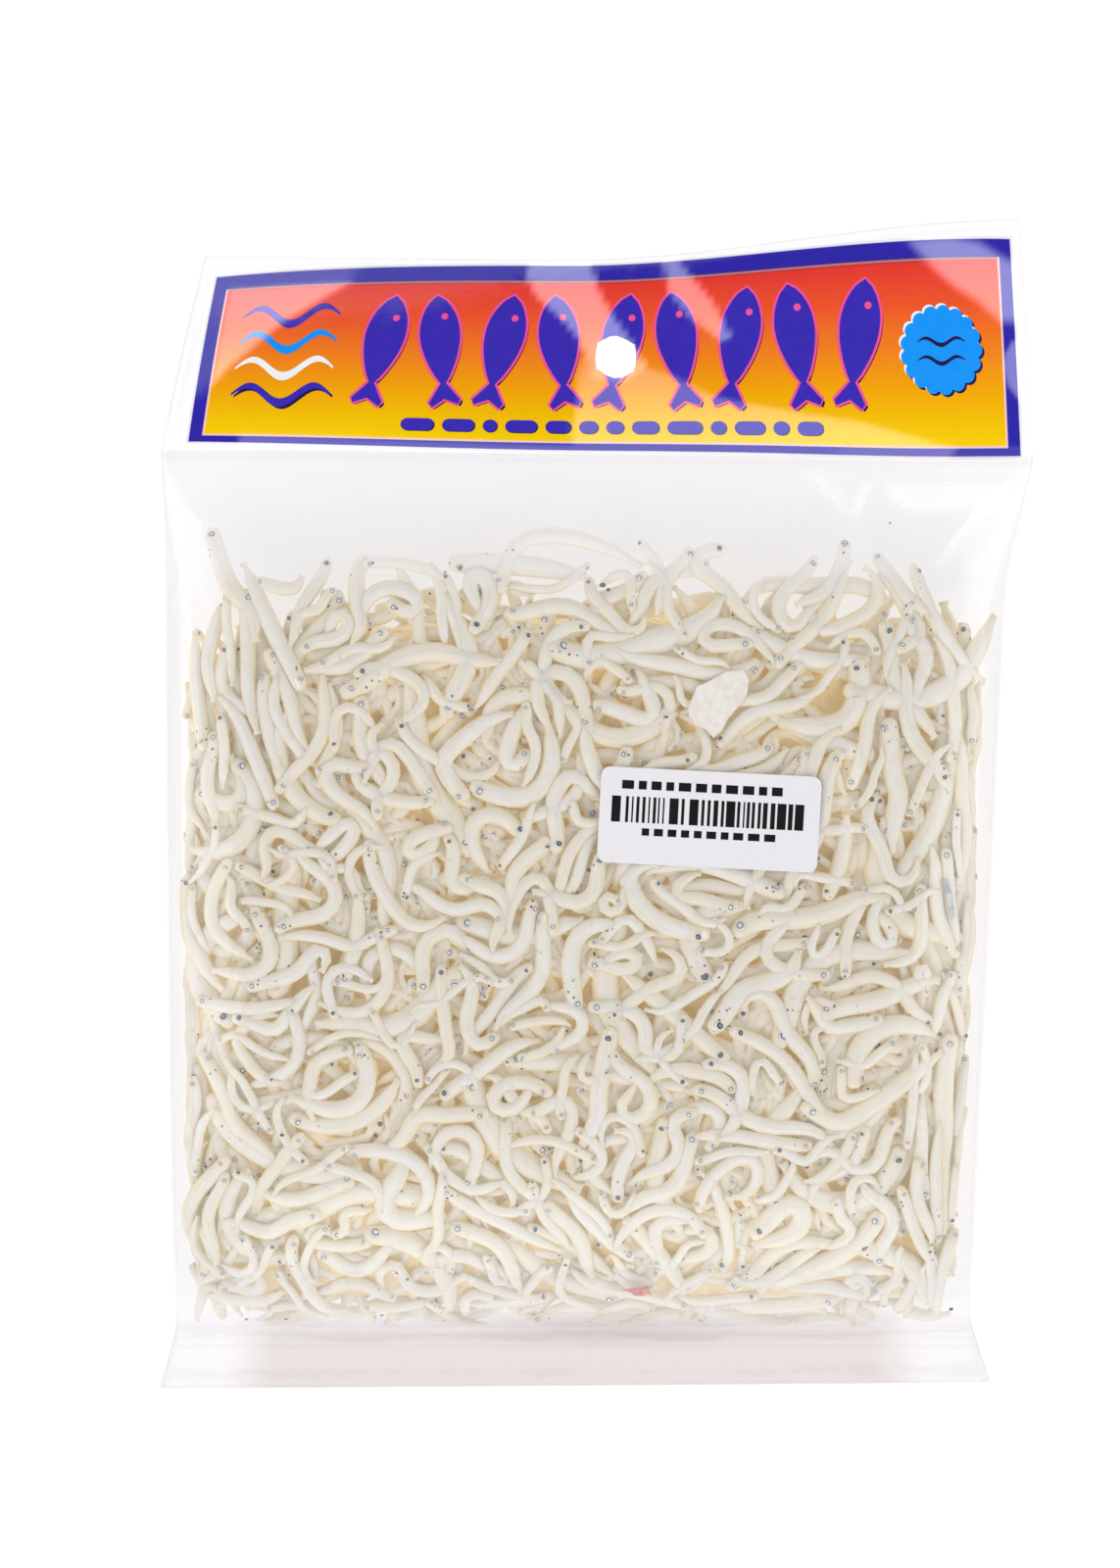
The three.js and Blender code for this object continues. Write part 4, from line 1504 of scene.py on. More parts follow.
# %% Film surface
FILM_BODY = 0.72  # share of the grid's rows that cover the filled part
SEAL_Y = SECTIONS[-1][0]
HEADER_FILM = {"front": 0.72, "back": -0.45, "rim": 1.3, "cut_edge": 0.08, "puffs": 0.16}
HEADER_HALF_WIDTH = 62
HEADER_HEIGHT = 33
HEADER_JOIN = 0.06  # share of the header over which it takes up the bag's section
FILM_WAVES = {"height": 0.22, "filled": 0.25, "size": 16}
SEAL_RIBS = {"height": 0.02, "each": 1.4}
CREASES = [  # start, end, width, height
    (-60, 53, -44, 41, 1.1, 0.35),
    (-52, 53, -30, 46, 1.3, 0.3),
    (-20, 52, 4, 47, 1.5, 0.3),
    (10, 53, 24, 44, 1.2, 0.35),
    (38, 52, 60, 47, 1.6, 0.45),
    (44, 47, 62, 50, 1.0, 0.4),
    (62, 52, 50, 38, 1.3, 0.4),
    (-61, 40, -58, 5, 0.9, 0.3),
    (60, 35, 58, -10, 0.9, 0.35),
    (57.5, -8, 56, -50, 0.8, 0.3),
    (-60, -20, -59, -60, 0.9, 0.3),
    (-50, -77, -20, -80, 1.0, 0.3),
    (10, -79, 40, -76, 1.2, 0.35),
]


def crease(x, y, start_x, start_y, end_x, end_y, width, height):
    """A soft ridge along a straight line that fades at both ends"""
    share, distance = beside_line(x, y, start_x, start_y, end_x, end_y)
    return height * np.exp(-((distance / width) ** 2)) * np.sin(np.pi * np.clip(share, 0.02, 0.98)) ** 0.5


def film_unevenness(x, y):
    """How far the front film rises out of its smooth form: creases, long waves, crumples and ribs"""
    total = sum(crease(x, y, *row) for row in CREASES)
    loose = rising(y, 36, 8) + FILM_WAVES["filled"]
    total = total + FILM_WAVES["height"] * loose * waves(x, y, 11, FILM_WAVES["size"], 6)
    total = total + CRUMPLED["height"] * crumpled(y) * (waves(x, y, 19, 9, 6) + 0.6 * waves(x, y, 20, 4.5, 6))
    ribs = rising(y, -80, -2) * SEAL_RIBS["height"] * np.sin(y * 2 * np.pi / SEAL_RIBS["each"])
    return total * rising(y, -90, 4) + ribs


def film_rows(v):
    """Place along the bag for the rows of the filled part, and the header's share for the others"""
    y = SECTIONS[0][0] + (SEAL_Y - SECTIONS[0][0]) * np.minimum(1, v / FILM_BODY)
    return y, np.clip((v - FILM_BODY) / (1 - FILM_BODY), 0, 1)


def header_rim(u, v):
    """0 at the header's outer edge and 1 where the film covers the card"""
    distance = np.minimum((1 - np.abs(u)) * HEADER_HALF_WIDTH, (1 - v) * HEADER_HEIGHT)
    return smooth(distance / HEADER_FILM["rim"])


def film_sheet(side):
    def place(u, v):
        spread = edge_spaced(u)
        y, header_v = film_rows(v)
        middle, half, _, _, lean = cross_section(y)
        x = middle + spread * half
        over_card = header_rim(spread, header_v)
        edge = HEADER_FILM["cut_edge"] if side == "front" else -HEADER_FILM["cut_edge"]
        above = edge + (HEADER_FILM[side] - edge) * over_card
        if side == "front":
            level = front_film(x, y) + film_unevenness(x, y) * fullness(spread)
            puffs = waves(x, header_v * HEADER_HEIGHT, 23, 42, 4)
            above = above + HEADER_FILM["puffs"] * over_card * puffs
        else:
            level = back_film(x, y)
        body = np.stack([x, y + lean * spread, level], -1)
        header = header_point(spread, header_v, above)
        join_share = smooth(header_v / HEADER_JOIN)[:, None]
        body_end = header_point(spread, header_v)
        body_end[:, 2] += level - (SECTIONS[-1][3] + SECTIONS[-1][4]) / 2
        in_header = (header_v > 0)[:, None]
        return np.where(in_header, body_end * (1 - join_share) + header * join_share, body)

    return place


film, film_u, film_v = make_pouch("clear_film", 180, 216, film_sheet("front"), film_sheet("back"))

# %% [markdown]
# The film clings to the card in places. The lamps' reflections on the header film are painted on it as
# white patches with sharp edges: one lies at the left end, one runs from the top past the hole to the
# lower right, and others lie in the upper right corner, at the right edge and along the seal. To know
# where they lie, one needs the card's place in the header.

# %% The card's place, the painted reflections over it and the glare on the empty film
CARD = {"left": -0.946, "right": 0.976, "flare": 0.016, "bottom": 0.018, "left_rise": 0.028, "dip": 0.016}
CARD_DIP = {"middle": 0.75, "width": 0.35}
CARD_TOP = [(-0.95, 0.9), (-0.6, 0.952), (-0.28, 0.978), (0.1, 0.973), (0.46, 0.958), (0.72, 0.946)]
CARD_TOP_CURVE = np.polyfit(*np.array([*CARD_TOP, (0.97, 0.926)]).T, 4)  # share of the header's height
CARD_SIZE = (126, 31)
# Painted reflections of the lamps on the header film, over the card.
PAINTED_REFLECTIONS = [  # width of the edge, strength, and the outline in the card's millimetres from its corner
    (1.6, 0.25, [(-4, 8), (1, 9), (5, 14), (12, 21.5), (21, 27.5), (24, 35), (-4, 35)]),
    (0.9, 1, [(2.6, 10.5), (5, 14), (12, 21.5), (20, 27.2), (21.5, 28.3), (2.6, 28.3)]),
    (
        0.5,
        0.9,
        [(49, 29), (50, 32), (54, 33.5), (59, 32), (61, 26), (63, 22.5), (66.5, 17.7), (69, 13.5), (66, 11)]
        + [(60, 12), (60, 14.6), (58, 18.7), (55, 22), (51, 25.5)],
    ),
    (
        0.5,
        0.45,
        [(59, 15), (67, 16), (69, 13.5), (73.5, 12), (78, 9.4), (84, 7.8), (93, 6.3), (102, 5)]
        + [(109, 3.2), (116, 1.4), (113, -2), (59, -2), (58, 3)],
    ),
    (
        0.5,
        0.8,
        [(71, 31), (73, 31.2), (75.5, 28), (79, 23.6), (82, 18), (80.6, 17.4), (75.5, 21.5), (72, 26)],
    ),
    (
        0.9,
        0.9,
        [(110, 30.5), (115.7, 31), (120.8, 30), (123.6, 28.4), (126.5, 27), (127.5, 19), (123.5, 19.2)]
        + [(120, 22.1), (116.8, 24), (114.5, 25.8), (112.3, 27.9)],
    ),
    (
        0.4,
        0.7,
        [(126.5, 17), (125, 16.2), (123.9, 14.5), (123.6, 12.5), (124.2, 10.2), (125.6, 8.4), (127, 8.2)],
    ),
    (0.6, 0.45, [(8, 1.7), (60, 1.2), (112, 1.5), (117, -2), (8, -2)]),
]
# Painted highlights: the lamps' glare on the empty film.
GLARE = [  # soft white patches on the empty film, in the bag's millimetres
    [(44.1, 51.5), (45.3, 48.5), (48.1, 46.8), (55.5, 47.5), (64, 47.5)]
    + [(62.5, 50.3), (57, 51.5), (51.8, 50.9)],
    [(33, 52.5), (38.5, 46), (40.5, 45.5), (43, 51.5), (41.5, 51.5), (39.3, 47.8), (35, 52.8)],
]


def card_edges(across):
    """Shares of the header's height at which the card's lower and upper edges are"""
    dip = np.exp(-(((across - CARD_DIP["middle"]) / CARD_DIP["width"]) ** 2))
    bottom = CARD["bottom"] + CARD["left_rise"] * smooth(-across) - CARD["dip"] * dip
    return bottom, np.polyval(CARD_TOP_CURVE, across)


def card_millimetres(u, v):
    """Place on the card of a point of the header"""
    bottom, top = card_edges(u)
    up = (v - bottom) / (top - bottom)
    left = CARD["left"] - CARD["flare"] * up * smooth(-u)
    return (u - left) / (CARD["right"] - left) * CARD_SIZE[0], up * CARD_SIZE[1]


# %% [markdown]
# The film is hazy at its folds and where two layers are sealed together, and below the fish it looks
# milky and pink. Close under the fish that tint is darker, a painted shadow of the heap's lower edge,
# and the left fold is painted darker than the right one, as shade. Four numbers with each point say
# so: the haze, the thickness that tints the light, the gap to the film's outline, and the painted
# glare. They are stored before the hole is punched, while the points still have the grid's order.

# %% Haze of the film and its hang hole
HANG_HOLE = {"x": 4.1, "y": 70, "radius": 3}
HAZE = {"plain": 0.08, "fold": 0.1, "bottom": 0.3, "seal": 0.2, "empty": 0.2, "most": 0.235, "header": 0.14}
PAINTED_GLARE = {"glare": 0.07, "pocket": 0.31}
SKIRT = {"plain": 0.37, "upper": 0.04, "middle": 0.34, "x": 4, "width": 17, "sides_off": 0.75}
THICKNESS = {"right_fold": 0.02, "left_shade": 0.05, "body": 0.13, "seal": 0.2}
FRONT_TO_BACK = (0.5, 1, 1, 0)  # what the back film has of the front's four numbers
OUTLINE_REACH = 10
HEADER_REACH = (65, 34)


def film_tones(grid_u, grid_v):
    """Haze, thickness, gap to the outline and painted glare of the front film"""
    u, (y, v) = edge_spaced(grid_u), film_rows(grid_v)
    middle, half, *_ = cross_section(y)
    x = middle + u * half
    at_fold = rising(np.abs(u), 0.95, 0.04)
    at_bottom = rising(y, -66, -9) * rising(y, -81.5, 2)
    at_seal = np.exp(-(((y - SEAL_Y) / 0.5) ** 2)) * (v < 0.02)
    on_body = 1 - smooth(v / 0.01)
    in_card = card_millimetres(u, v)
    inwards = [np.minimum(place, size - place) for place, size in zip(in_card, CARD_SIZE)]
    over_card = smooth(inwards[0] + 0.5) * smooth(inwards[1] + 0.5)
    header_reflections = [strength * inside_outline(row, *in_card, blur) for blur, strength, row in PAINTED_REFLECTIONS]
    glare = np.max([inside_outline(row, x, y, 0.8) * on_body for row in GLARE], axis=0)
    haze = HAZE["plain"] + HAZE["fold"] * at_fold + HAZE["bottom"] * at_bottom + HAZE["seal"] * at_seal
    haze = np.minimum(haze + HAZE["empty"] * rising(y, 32, 7), HAZE["most"]) * on_body
    haze = haze + HAZE["header"] * (1 - on_body) * (1 - over_card)
    # Painted reflections: the glare on the empty film and the lamps' reflections over the card.
    painted_glare = PAINTED_GLARE["glare"] * glare + PAINTED_GLARE["pocket"] * np.max(header_reflections, axis=0) * (1 - on_body) * over_card
    # Painted shadow: the skirt's tint grows just below the fish, most in the middle, over the film's own
    # pinkish tint.
    pink_shadow_middle = np.exp(-(((x - SKIRT["x"]) / SKIRT["width"]) ** 2))
    skirt = SKIRT["plain"] + (SKIRT["upper"] + SKIRT["middle"] * pink_shadow_middle) * rising(y, -85, 5)
    skirt = rising(y, -77, -2.5) * skirt * (1 - SKIRT["sides_off"] * rising(np.abs(u), 0.72, 0.15))
    # Painted shade: the left fold is tinted darker than the right one.
    fold = at_fold * (THICKNESS["right_fold"] + THICKNESS["left_shade"] * (u < 0))
    thickness = np.maximum(skirt, fold) + THICKNESS["body"] * on_body + THICKNESS["seal"] * at_seal
    gap = np.minimum((1 - np.abs(u)) * half, y - SECTIONS[0][0])
    header_gap = np.minimum((1 - np.abs(u)) * HEADER_REACH[0], (1 - v) * HEADER_REACH[1])
    gap = np.clip(np.where(v > 0, header_gap, gap) / OUTLINE_REACH, 0, 1)
    return np.column_stack([haze, thickness, gap, painted_glare])


tones = film_tones(film_u, film_v)
paint_points(film, "haze", np.vstack([tones, tones * FRONT_TO_BACK]))
punch(film, HANG_HOLE["x"], HANG_HOLE["y"], HANG_HOLE["radius"])
shade_smooth(film, math.radians(75))
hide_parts("bag")
settle(film)

# %% [markdown]
# Light passes the film almost unchanged. Where it is thick, and along its outline and ribs, it tints
# the light; the tint also holds the painted shadow under the fish and the painted shade of the left
# fold. The haze scatters some of it, and the outer side is glossy. The painted glare is added as plain
# white, because a mixture would take colour away from the print below it.

# %% Film material
RIBS = {"from": -0.0848, "to": -0.08, "soft": 0.0003, "each": 0.0015}

wrap = Finish("clear_bag_film")
wrap.tree.nodes.remove(wrap.surface)
haziness, thickness, edge_gap, glare_strength = wrap.points("haze")
along_bag = wrap.across_and_along(wrap.place())[1]
below_top = wrap.step(along_bag, RIBS["to"] - RIBS["soft"], RIBS["to"])
in_ribs = wrap.maths("SUBTRACT", wrap.step(along_bag, RIBS["from"], RIBS["from"] + RIBS["soft"]), below_top)
rib_wave = wrap.maths("SINE", wrap.times(along_bag, 2 * math.pi / RIBS["each"]))
ribs = wrap.times(wrap.times(in_ribs, wrap.step(rib_wave, 0.55, 1)), 0.1)
outline = wrap.times(wrap.rest(wrap.step(edge_gap, 0.015, 0.05)), 0.2)
tint = wrap.maths("ADD", thickness, wrap.maths("MAXIMUM", ribs, outline), clamp=True)
film_colour = wrap.blend(tint, (0.967, 0.969, 0.976, 1), (0.72, 0.66, 0.635, 1))
see_through = wrap.node("ShaderNodeBsdfTransparent", Color=film_colour)
milky = wrap.node("ShaderNodeBsdfDiffuse", Color=paint(240, 242, 249), Roughness=0.5)
ripple = wrap.node("ShaderNodeBump", Height=wrap.noise(160, 3), Distance=0.0006, Strength=0.25)
ripple = ripple.outputs["Normal"]
mirror = wrap.node("ShaderNodeBsdfGlossy", Color=(1, 1, 1, 1), Roughness=0.09, Normal=ripple)
gloss = wrap.node("ShaderNodeFresnel", IOR=1.5, Normal=ripple)
inner_side = wrap.tree.nodes.new("ShaderNodeNewGeometry").outputs["Backfacing"]
outer_gloss = wrap.times(gloss.outputs[0], wrap.rest(inner_side))
hazy = wrap.mix_shaders(haziness, see_through.outputs[0], milky.outputs[0])
shiny = wrap.mix_shaders(outer_gloss, hazy, mirror.outputs[0])
# Painted reflections and highlights, added as a white diffuse layer.
glare_colour = wrap.blend(glare_strength, (0, 0, 0, 1), (1, 1, 1, 1))
glare_light = wrap.node("ShaderNodeBsdfDiffuse", Color=glare_colour, Roughness=0.5)
with_glare = wrap.tree.nodes.new("ShaderNodeAddShader")
wrap.link(shiny, with_glare.inputs[0])
wrap.link(glare_light.outputs[0], with_glare.inputs[1])
wrap.link(with_glare.outputs[0], wrap.output.inputs["Surface"])
dress(film, wrap)

# %% [markdown]
# ## The header card
#
# A piece of thin printed card, a little smaller than its pocket. It is again two sheets bridged round
# the edge. The share of its width and height goes into a UV map, and the print follows that map, so
# the frame stays parallel to the card's edges however the card bends.

# %% Card
CARD_LEVEL = {"low": 0.1, "high": 0.45}


def card_place(level):
    def place(u, v):
        across = CARD["left"] + (CARD["right"] - CARD["left"]) * (u + 1) / 2 - CARD["flare"] * v * smooth(-u)
        bottom, top = card_edges(across)
        return header_point(across, bottom + (top - bottom) * v, level)

    return place


card, card_u, card_v = make_pouch(
    "printed_card", 120, 34, card_place(CARD_LEVEL["high"]), card_place(CARD_LEVEL["low"])
)


def map_print(piece, u, v):
    """Stores the share of the width and of the height as the piece's UV map"""
    layer = piece.data.uv_layers.new(name="print")
    corners = np.empty(len(piece.data.loops), int)
    piece.data.loops.foreach_get("vertex_index", corners)
    both = np.column_stack([(np.tile(u, 2) + 1) / 2, np.tile(v, 2)])
    layer.uv.foreach_set("vector", both[corners].ravel())


map_print(card, card_u, card_v)
punch(card, HANG_HOLE["x"], HANG_HOLE["y"], HANG_HOLE["radius"] + 0.05)
shade_smooth(card)
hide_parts("header_card")
settle(card)

# %% [markdown]
# The print is a field that runs from red at the top over orange to yellow, in a deep violet frame with
# a fine pale pink line inside it and a thin dark line under its top bar. Frame widths are real sizes.

# %% Card print
FRAME = {"left": 2.6, "right": 2.5, "bottom": 1.8, "top": 3.2}
WHITE_EDGE = 0.35
PINK_LINE = 0.3
PRINT_BLUR = 0.08
BAR_SHADE = {"above": 0.4, "begins": 0.35, "ends": 0.5, "strength": 0.75}
FIELD_ENDS = [(0.08, (251, 208, 0)), (0.88, (236, 58, 50))]
FIELD_BETWEEN = [(0.22, (248, 187, 0)), (0.34, (248, 164, 4)), (0.48, (249, 135, 27)), (0.7, (244, 88, 43))]

card_print = Finish("card_print")
uv = card_print.node("ShaderNodeUVMap")
uv.uv_map = "print"
across_share, up_share = card_print.across_and_along(uv.outputs[0])
from_left = card_print.times(across_share, CARD_SIZE[0])
from_right = card_print.maths("SUBTRACT", CARD_SIZE[0], from_left)
from_bottom = card_print.times(up_share, CARD_SIZE[1])
from_top = card_print.maths("SUBTRACT", CARD_SIZE[1], from_bottom)


def inside_margin(margins):
    """1 further in than the four margins, 0 outside them"""
    distances = (from_left, from_right, from_bottom, from_top)
    sides = [card_print.step(d, m - PRINT_BLUR, m + PRINT_BLUR) for d, m in zip(distances, margins)]
    return functools.reduce(card_print.times, sides)


field = card_print.node("ShaderNodeValToRGB")
card_print.link(up_share, field.inputs[0])
stops = field.color_ramp.elements
for stop, (position, _) in zip(stops, FIELD_ENDS):
    stop.position = position
for position, _ in FIELD_BETWEEN:
    stops.new(position)
for stop, (_, colour) in zip(stops, sorted(FIELD_ENDS + FIELD_BETWEEN)):
    stop.color = paint(*colour)
margins = list(FRAME.values())
violet = card_print.blend(card_print.noise(90, 2), paint(46, 37, 166), paint(52, 42, 175))
edged = card_print.blend(inside_margin([WHITE_EDGE] * 4), paint(244, 242, 244), violet)
framed = card_print.blend(inside_margin([m - PINK_LINE for m in margins]), edged, paint(250, 206, 200))
with_field = card_print.blend(inside_margin(margins), framed, field.outputs[0])
under_bar = card_print.step(from_top, FRAME["top"] - BAR_SHADE["begins"], FRAME["top"] + BAR_SHADE["ends"])
bar_shade = card_print.times(card_print.rest(under_bar), BAR_SHADE["strength"])
bar_shade = card_print.times(bar_shade, inside_margin([*margins[:3], margins[3] - BAR_SHADE["above"]]))
printed = card_print.blend(bar_shade, with_field, paint(96, 18, 70))
card_print.set(Base_Color=printed, Roughness=0.5, Specular_IOR_Level=0.05)
card_print.bump(card_print.noise(700, 2), 0.00004, 0.4)
card_stock = Finish("white_card_stock")
fibres = card_stock.noise(900, 4, 0.7)
paper_white = card_stock.blend(fibres, paint(236, 234, 230), paint(248, 247, 244))
card_stock.set(Base_Color=paper_white, Roughness=0.85)
card_stock.bump(fibres, 0.00005, 0.5)
dress(card, card_print, card_stock)
for face in card.data.polygons:
    face.material_index = 0 if face.normal.z > 0.5 else 1

# %% [markdown]
# ## Motifs on the card
#
# The motifs are flat shapes drawn in the card's own millimetres, from its lower left corner. Each is a
# filled circle whose points are moved to the outline, cut into strips so that it can bend, and then
# laid on the card. A motif is printed three times: a dark shadow, a pink rim and the violet shape.

# %% Draw flat shapes and lay them on the card
CUT_STEP = 2.5
HOLE_ROOM = 0.12
LAYERS = {"shadow": 0.015, "rim": 0.03, "shape": 0.045, "field": 0.05, "spot": 0.06, "mark": 0.065}


def on_card_surface(x, y, lift):
    """Places on the card for points in its own millimetres"""
    u = x / CARD_SIZE[0] * 2 - 1
    return card_place(CARD_LEVEL["high"] + lift)(u, y / CARD_SIZE[1])


def cut_hang_hole(shape):
    """Trims away what a laid shape has inside the hang hole"""
    centre = np.array([HANG_HOLE["x"], HANG_HOLE["y"]])
    room = HANG_HOLE["radius"] + HOLE_ROOM
    distance = np.hypot(*(places(shape)[:, :2] / MM - centre).T)
    if distance.min() > 3 * room:
        return
    open_mesh(shape)
    for angle in np.linspace(0, 2 * np.pi, 24, endpoint=False):
        outwards = np.array([math.cos(angle), math.sin(angle)])
        x, y = (centre + room * outwards) * MM
        bpy.ops.mesh.select_all(action="SELECT")
        bpy.ops.mesh.bisect(plane_co=(x, y, 0), plane_no=(outwards[0], outwards[1], 0))
    bpy.ops.mesh.select_mode(type="FACE")
    mesh = bmesh.from_edit_mesh(shape.data)
    for face in mesh.faces:
        spot = face.calc_center_median()
        face.select = math.hypot(spot.x / MM - centre[0], spot.y / MM - centre[1]) < room
    bpy.ops.mesh.delete(type="FACE")
    close_mesh()


def flat_shape(outline, layer):
    """A filled outline laid on the card"""
    shape = filled_outline(outline)
    bpy.ops.mesh.quads_convert_to_tris(ngon_method="BEAUTY")
    low, high = outline.min(0), outline.max(0)
    for axis, normal in ((0, (1, 0, 0)), (1, (0, 1, 0))):
        for cut in np.arange(math.ceil(low[axis] / CUT_STEP) * CUT_STEP, high[axis], CUT_STEP):
            bpy.ops.mesh.select_all(action="SELECT")
            bpy.ops.mesh.bisect(plane_co=[cut * n for n in normal], plane_no=normal)
    close_mesh()
    drawn = places(shape)
    set_places(shape, on_card_surface(drawn[:, 0], drawn[:, 1], LAYERS[layer]) * MM)
    cut_hang_hole(shape)
    return shape


def join_shapes(name, shapes, finish):
    joined = join(shapes, name)
    for face in joined.data.polygons:
        if face.normal.z < 0:
            face.flip()
    dress(joined, finish)
    shade_smooth(joined)
    settle(joined)


def grown(outline, amount):
    """An outline moved outwards by an amount"""
    before, after = np.roll(outline, 1, 0), np.roll(outline, -1, 0)
    along = after - before
    along /= np.linalg.norm(along, axis=1, keepdims=True)
    return outline + np.stack([along[:, 1], -along[:, 0]], -1) * amount


def ink(name, colour, roughness=0.4):
    """A printing ink with a slightly uneven cover"""
    finish = Finish(name)
    light = [min(1, c * 1.12 + 0.01) for c in colour[:3]] + [1]
    cover = finish.blend(finish.noise(500, 2), colour, light)
    finish.set(Base_Color=cover, Roughness=roughness, Specular_IOR_Level=0.05)
    return finish


# %% [markdown]
# The large motif is a row of plain little fish that stand on their tails, a bit more than half as tall
# as the card. One outline serves for all of them, leaning a bit left and right in turn.

# %% Row of fish on the card
MOTIF = {"count": 9, "first": 27.8, "step": 9.2, "height": 16.4, "length": 18.6, "width": 6.6, "lean": 9}
MOTIF_EYE = 0.55
RIM = 0.4
SHADOW = (0.45, -0.35)


def fish_outline(length, width):
    """A fish that looks up, its middle at the origin, drawn against the clock"""
    t = np.linspace(0, 1, 15)
    body_y = length * (0.5 - 0.8 * t)
    body_x = width / 2 * (np.sin(np.pi * t**0.8) ** 0.85 * 0.88 + 0.12 * t)
    right = np.column_stack([body_x, body_y])
    tail = np.array([[0.36 * width, -0.46 * length], [0.3 * width, -0.5 * length], [0, -0.44 * length]])
    half = np.vstack([right, tail])
    left = half[1:-1] * (-1, 1)
    return np.vstack([half, left[::-1]])[::-1]


def turned(outline, degrees):
    turn = math.radians(degrees)
    across = np.array([math.cos(turn), math.sin(turn)])
    up = np.array([-math.sin(turn), math.cos(turn)])
    return outline[:, :1] * across + outline[:, 1:] * up


shadows, rims, bodies, spots = [], [], [], []
for number in range(MOTIF["count"]):
    middle = np.array([MOTIF["first"] + number * MOTIF["step"], MOTIF["height"]])
    lean = MOTIF["lean"] * (1 if number % 2 else -1)
    shape = turned(fish_outline(MOTIF["length"], MOTIF["width"]), lean) + middle
    eye_at = turned(np.array([[0.9, 0.3 * MOTIF["length"]]]), lean) + middle
    shadows.append(flat_shape(shape + SHADOW, "shadow"))
    rims.append(flat_shape(grown(shape, RIM), "rim"))
    bodies.append(flat_shape(shape, "shape"))
    spots.append(flat_shape(disc(MOTIF_EYE, 16) + eye_at, "spot"))

# %% [markdown]
# Small marks fill the other places: four waves at the left, a row of dashes under the fish and a
# scalloped round seal at the right, with a bright edge above and a dark one below it.

# %% Waves, dashes and the seal
WAVES = {"x": 5.8, "y": 8.8, "length": 15, "height": 1.5, "gap": 4.6, "thick": 1.5}
DASHES = {"x": 32, "y": 3.1, "end": 97, "height": 2.0, "gap": 1.2}
DASHES |= {"length": (1.8, 5.5), "shadow": (0.15, -0.12)}
SEAL = {"x": 114.2, "y": 15.2, "radius": 6.3, "scallops": 17, "depth": 0.3}
SEAL |= {"shadow": (0.3, -0.3), "glint": (-0.28, 0.28)}


def wave_band(x, y, length, height, thick):
    t = np.linspace(0, 1, 25)
    line_x = x + length * t
    line_y = y + height * np.sin(2 * np.pi * 1.5 * t)
    half = thick / 2 * np.sin(np.pi * np.clip(t, 0.03, 0.97)) ** 0.5
    lower, upper = np.column_stack([line_x, line_y - half]), np.column_stack([line_x, line_y + half])
    return np.vstack([lower, upper[::-1]])


def seal_outline(radius):
    angle = np.linspace(0, 2 * np.pi, SEAL["scallops"] * 6, endpoint=False)
    edge = radius - SEAL["depth"] * (1 - np.abs(np.cos(SEAL["scallops"] / 2 * angle)) ** 0.7) * 2
    return disc(1, len(angle)) * edge[:, None]


def rounded_bar(x, y, length, height):
    radius = height / 2
    angle = np.linspace(-np.pi / 2, np.pi / 2, 7)
    right = np.column_stack([length - radius + radius * np.cos(angle), radius + radius * np.sin(angle)])
    left = np.column_stack([radius - radius * np.cos(angle), radius - radius * np.sin(angle)])
    return np.vstack([right, left]) + (x, y)


wave_shapes = [
    wave_band(WAVES["x"], WAVES["y"] + WAVES["gap"] * n, WAVES["length"], WAVES["height"], WAVES["thick"])
    for n in range(4)
]
shadows.append(flat_shape(wave_shapes[0] + SHADOW, "shadow"))
bodies.append(flat_shape(wave_shapes[0], "shape"))
bodies.append(flat_shape(wave_shapes[3], "shape"))
dash_x = DASHES["x"]
while dash_x < DASHES["end"]:
    dash = luck.uniform(*DASHES["length"])
    bar = rounded_bar(dash_x, DASHES["y"], dash, DASHES["height"])
    shadows.append(flat_shape(bar + DASHES["shadow"], "rim"))
    bodies.append(flat_shape(bar, "shape"))
    dash_x += dash + DASHES["gap"]
seal = seal_outline(SEAL["radius"]) + (SEAL["x"], SEAL["y"])
shadows.append(flat_shape(seal + SEAL["shadow"], "shadow"))
glints = [flat_shape(seal + SEAL["glint"], "rim"), flat_shape(wave_shapes[1], "shape")]
seal_field = [flat_shape(seal, "field"), flat_shape(wave_shapes[2], "field")]
seal_waves = [wave_band(SEAL["x"] - 3.6, SEAL["y"] + offset, 7.2, 0.5, 0.6) for offset in (-1.4, 1.2)]
seal_marks = [flat_shape(wave, "mark") for wave in seal_waves]
join_shapes("print_shadows", shadows + seal_marks, ink("dark_violet_ink", paint(34, 14, 74)))
join_shapes("print_rims", rims + spots, ink("pink_ink", paint(240, 84, 150)))
join_shapes("print_fish", bodies, ink("violet_ink", paint(56, 40, 176)))
join_shapes("print_glints", glints, ink("white_ink", paint(244, 244, 248)))
join_shapes("print_seal", seal_field, ink("blue_ink", paint(16, 147, 250)))

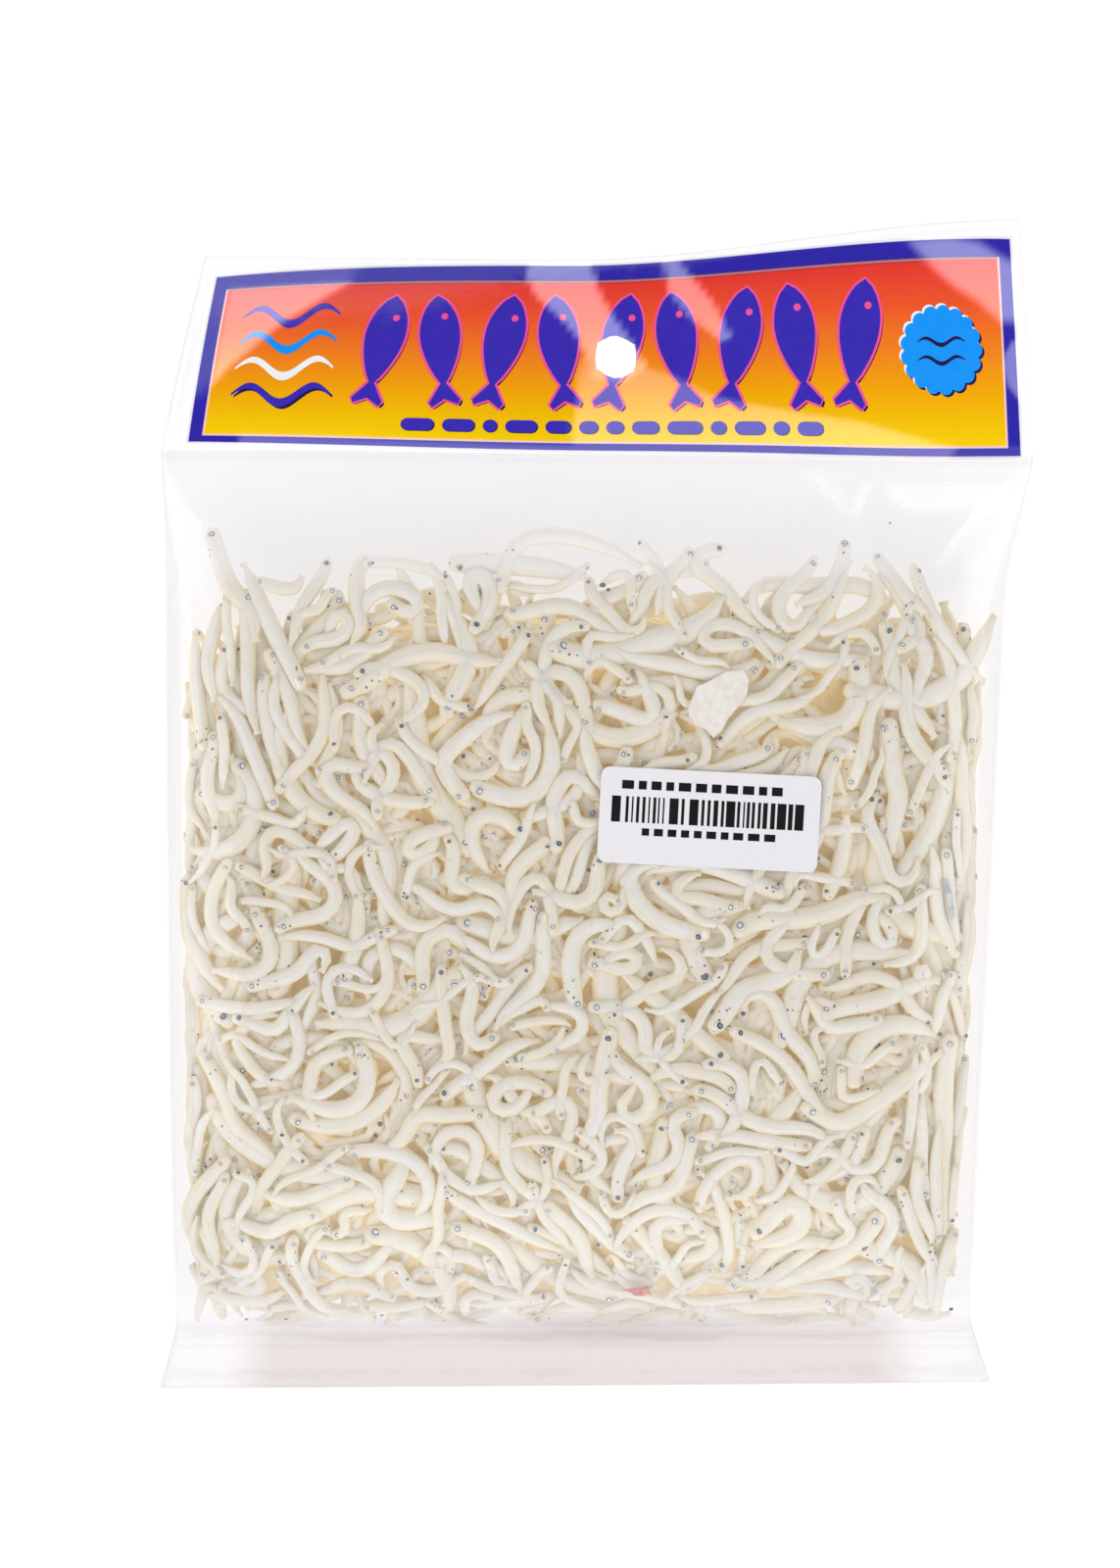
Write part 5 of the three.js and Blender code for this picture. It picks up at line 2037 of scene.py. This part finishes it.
# %% [markdown]
# ## The label
#
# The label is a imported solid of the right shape, so it stays and gets a coated paper. Its thermal print
# is a set of bars of uneven width, with plain dashes above and below them.

# %% Label paper and its print
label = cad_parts["price_sticker"]
label_paper = Finish("label_paper")
label_paper.set(
    Base_Color=label_paper.blend(label_paper.noise(600, 3), paint(226, 224, 228), paint(230, 228, 232)),
    Roughness=0.38,
    Specular_IOR_Level=0.3,
)
label_paper.bump(label_paper.noise(120, 2), 0.00008, 0.4)
dress(label, label_paper)

BARS = {"left": 1.8, "right": 31, "bottom": 6.2, "height": 3.9}
BAR_WIDTHS = (0.25, 0.45, 0.7, 1.35)
BAR_GAPS = (0.3, 0.45, 0.75)
LABEL_DASHES = {"length": (1.1, 1.9), "gap": 0.7}
LABEL_ROWS = ((11.2, 3.2, 27, 1.3), (4.3, 6.5, 26, 1.1))  # place, left end, right end and height of dashes
INK_LIFT = 0.012
LABEL_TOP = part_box("price_sticker")[1][2] / MM


def label_bar(x, y, width, height):
    """A flat bar on the label, in millimetres from its lower left corner"""
    bpy.ops.mesh.primitive_plane_add(size=1)
    bar = bpy.context.object
    corners = places(bar)[:, :2] + 0.5
    spot = corners * (width, height) + (x - LABEL["width"] / 2, y - LABEL["height"] / 2)
    spot = turned(spot, math.degrees(LABEL["turn"])) + (LABEL["x"], LABEL["y"])
    set_places(bar, np.column_stack([spot, np.full(len(spot), LABEL_TOP + INK_LIFT)]) * MM)
    return bar


bars = []
bar_x = BARS["left"]
while bar_x < BARS["right"]:
    width = luck.choice(BAR_WIDTHS)
    bars.append(label_bar(bar_x, BARS["bottom"], min(width, BARS["right"] - bar_x), BARS["height"]))
    bar_x += width + luck.choice(BAR_GAPS)
for row_y, first, last, height in LABEL_ROWS:
    dash_x = first
    while dash_x < last:
        width = luck.uniform(*LABEL_DASHES["length"])
        bars.append(label_bar(dash_x, row_y, width, height))
        dash_x += width + LABEL_DASHES["gap"]
join_shapes("label_bars", bars, ink("black_thermal_print", paint(18, 16, 20), 0.5))
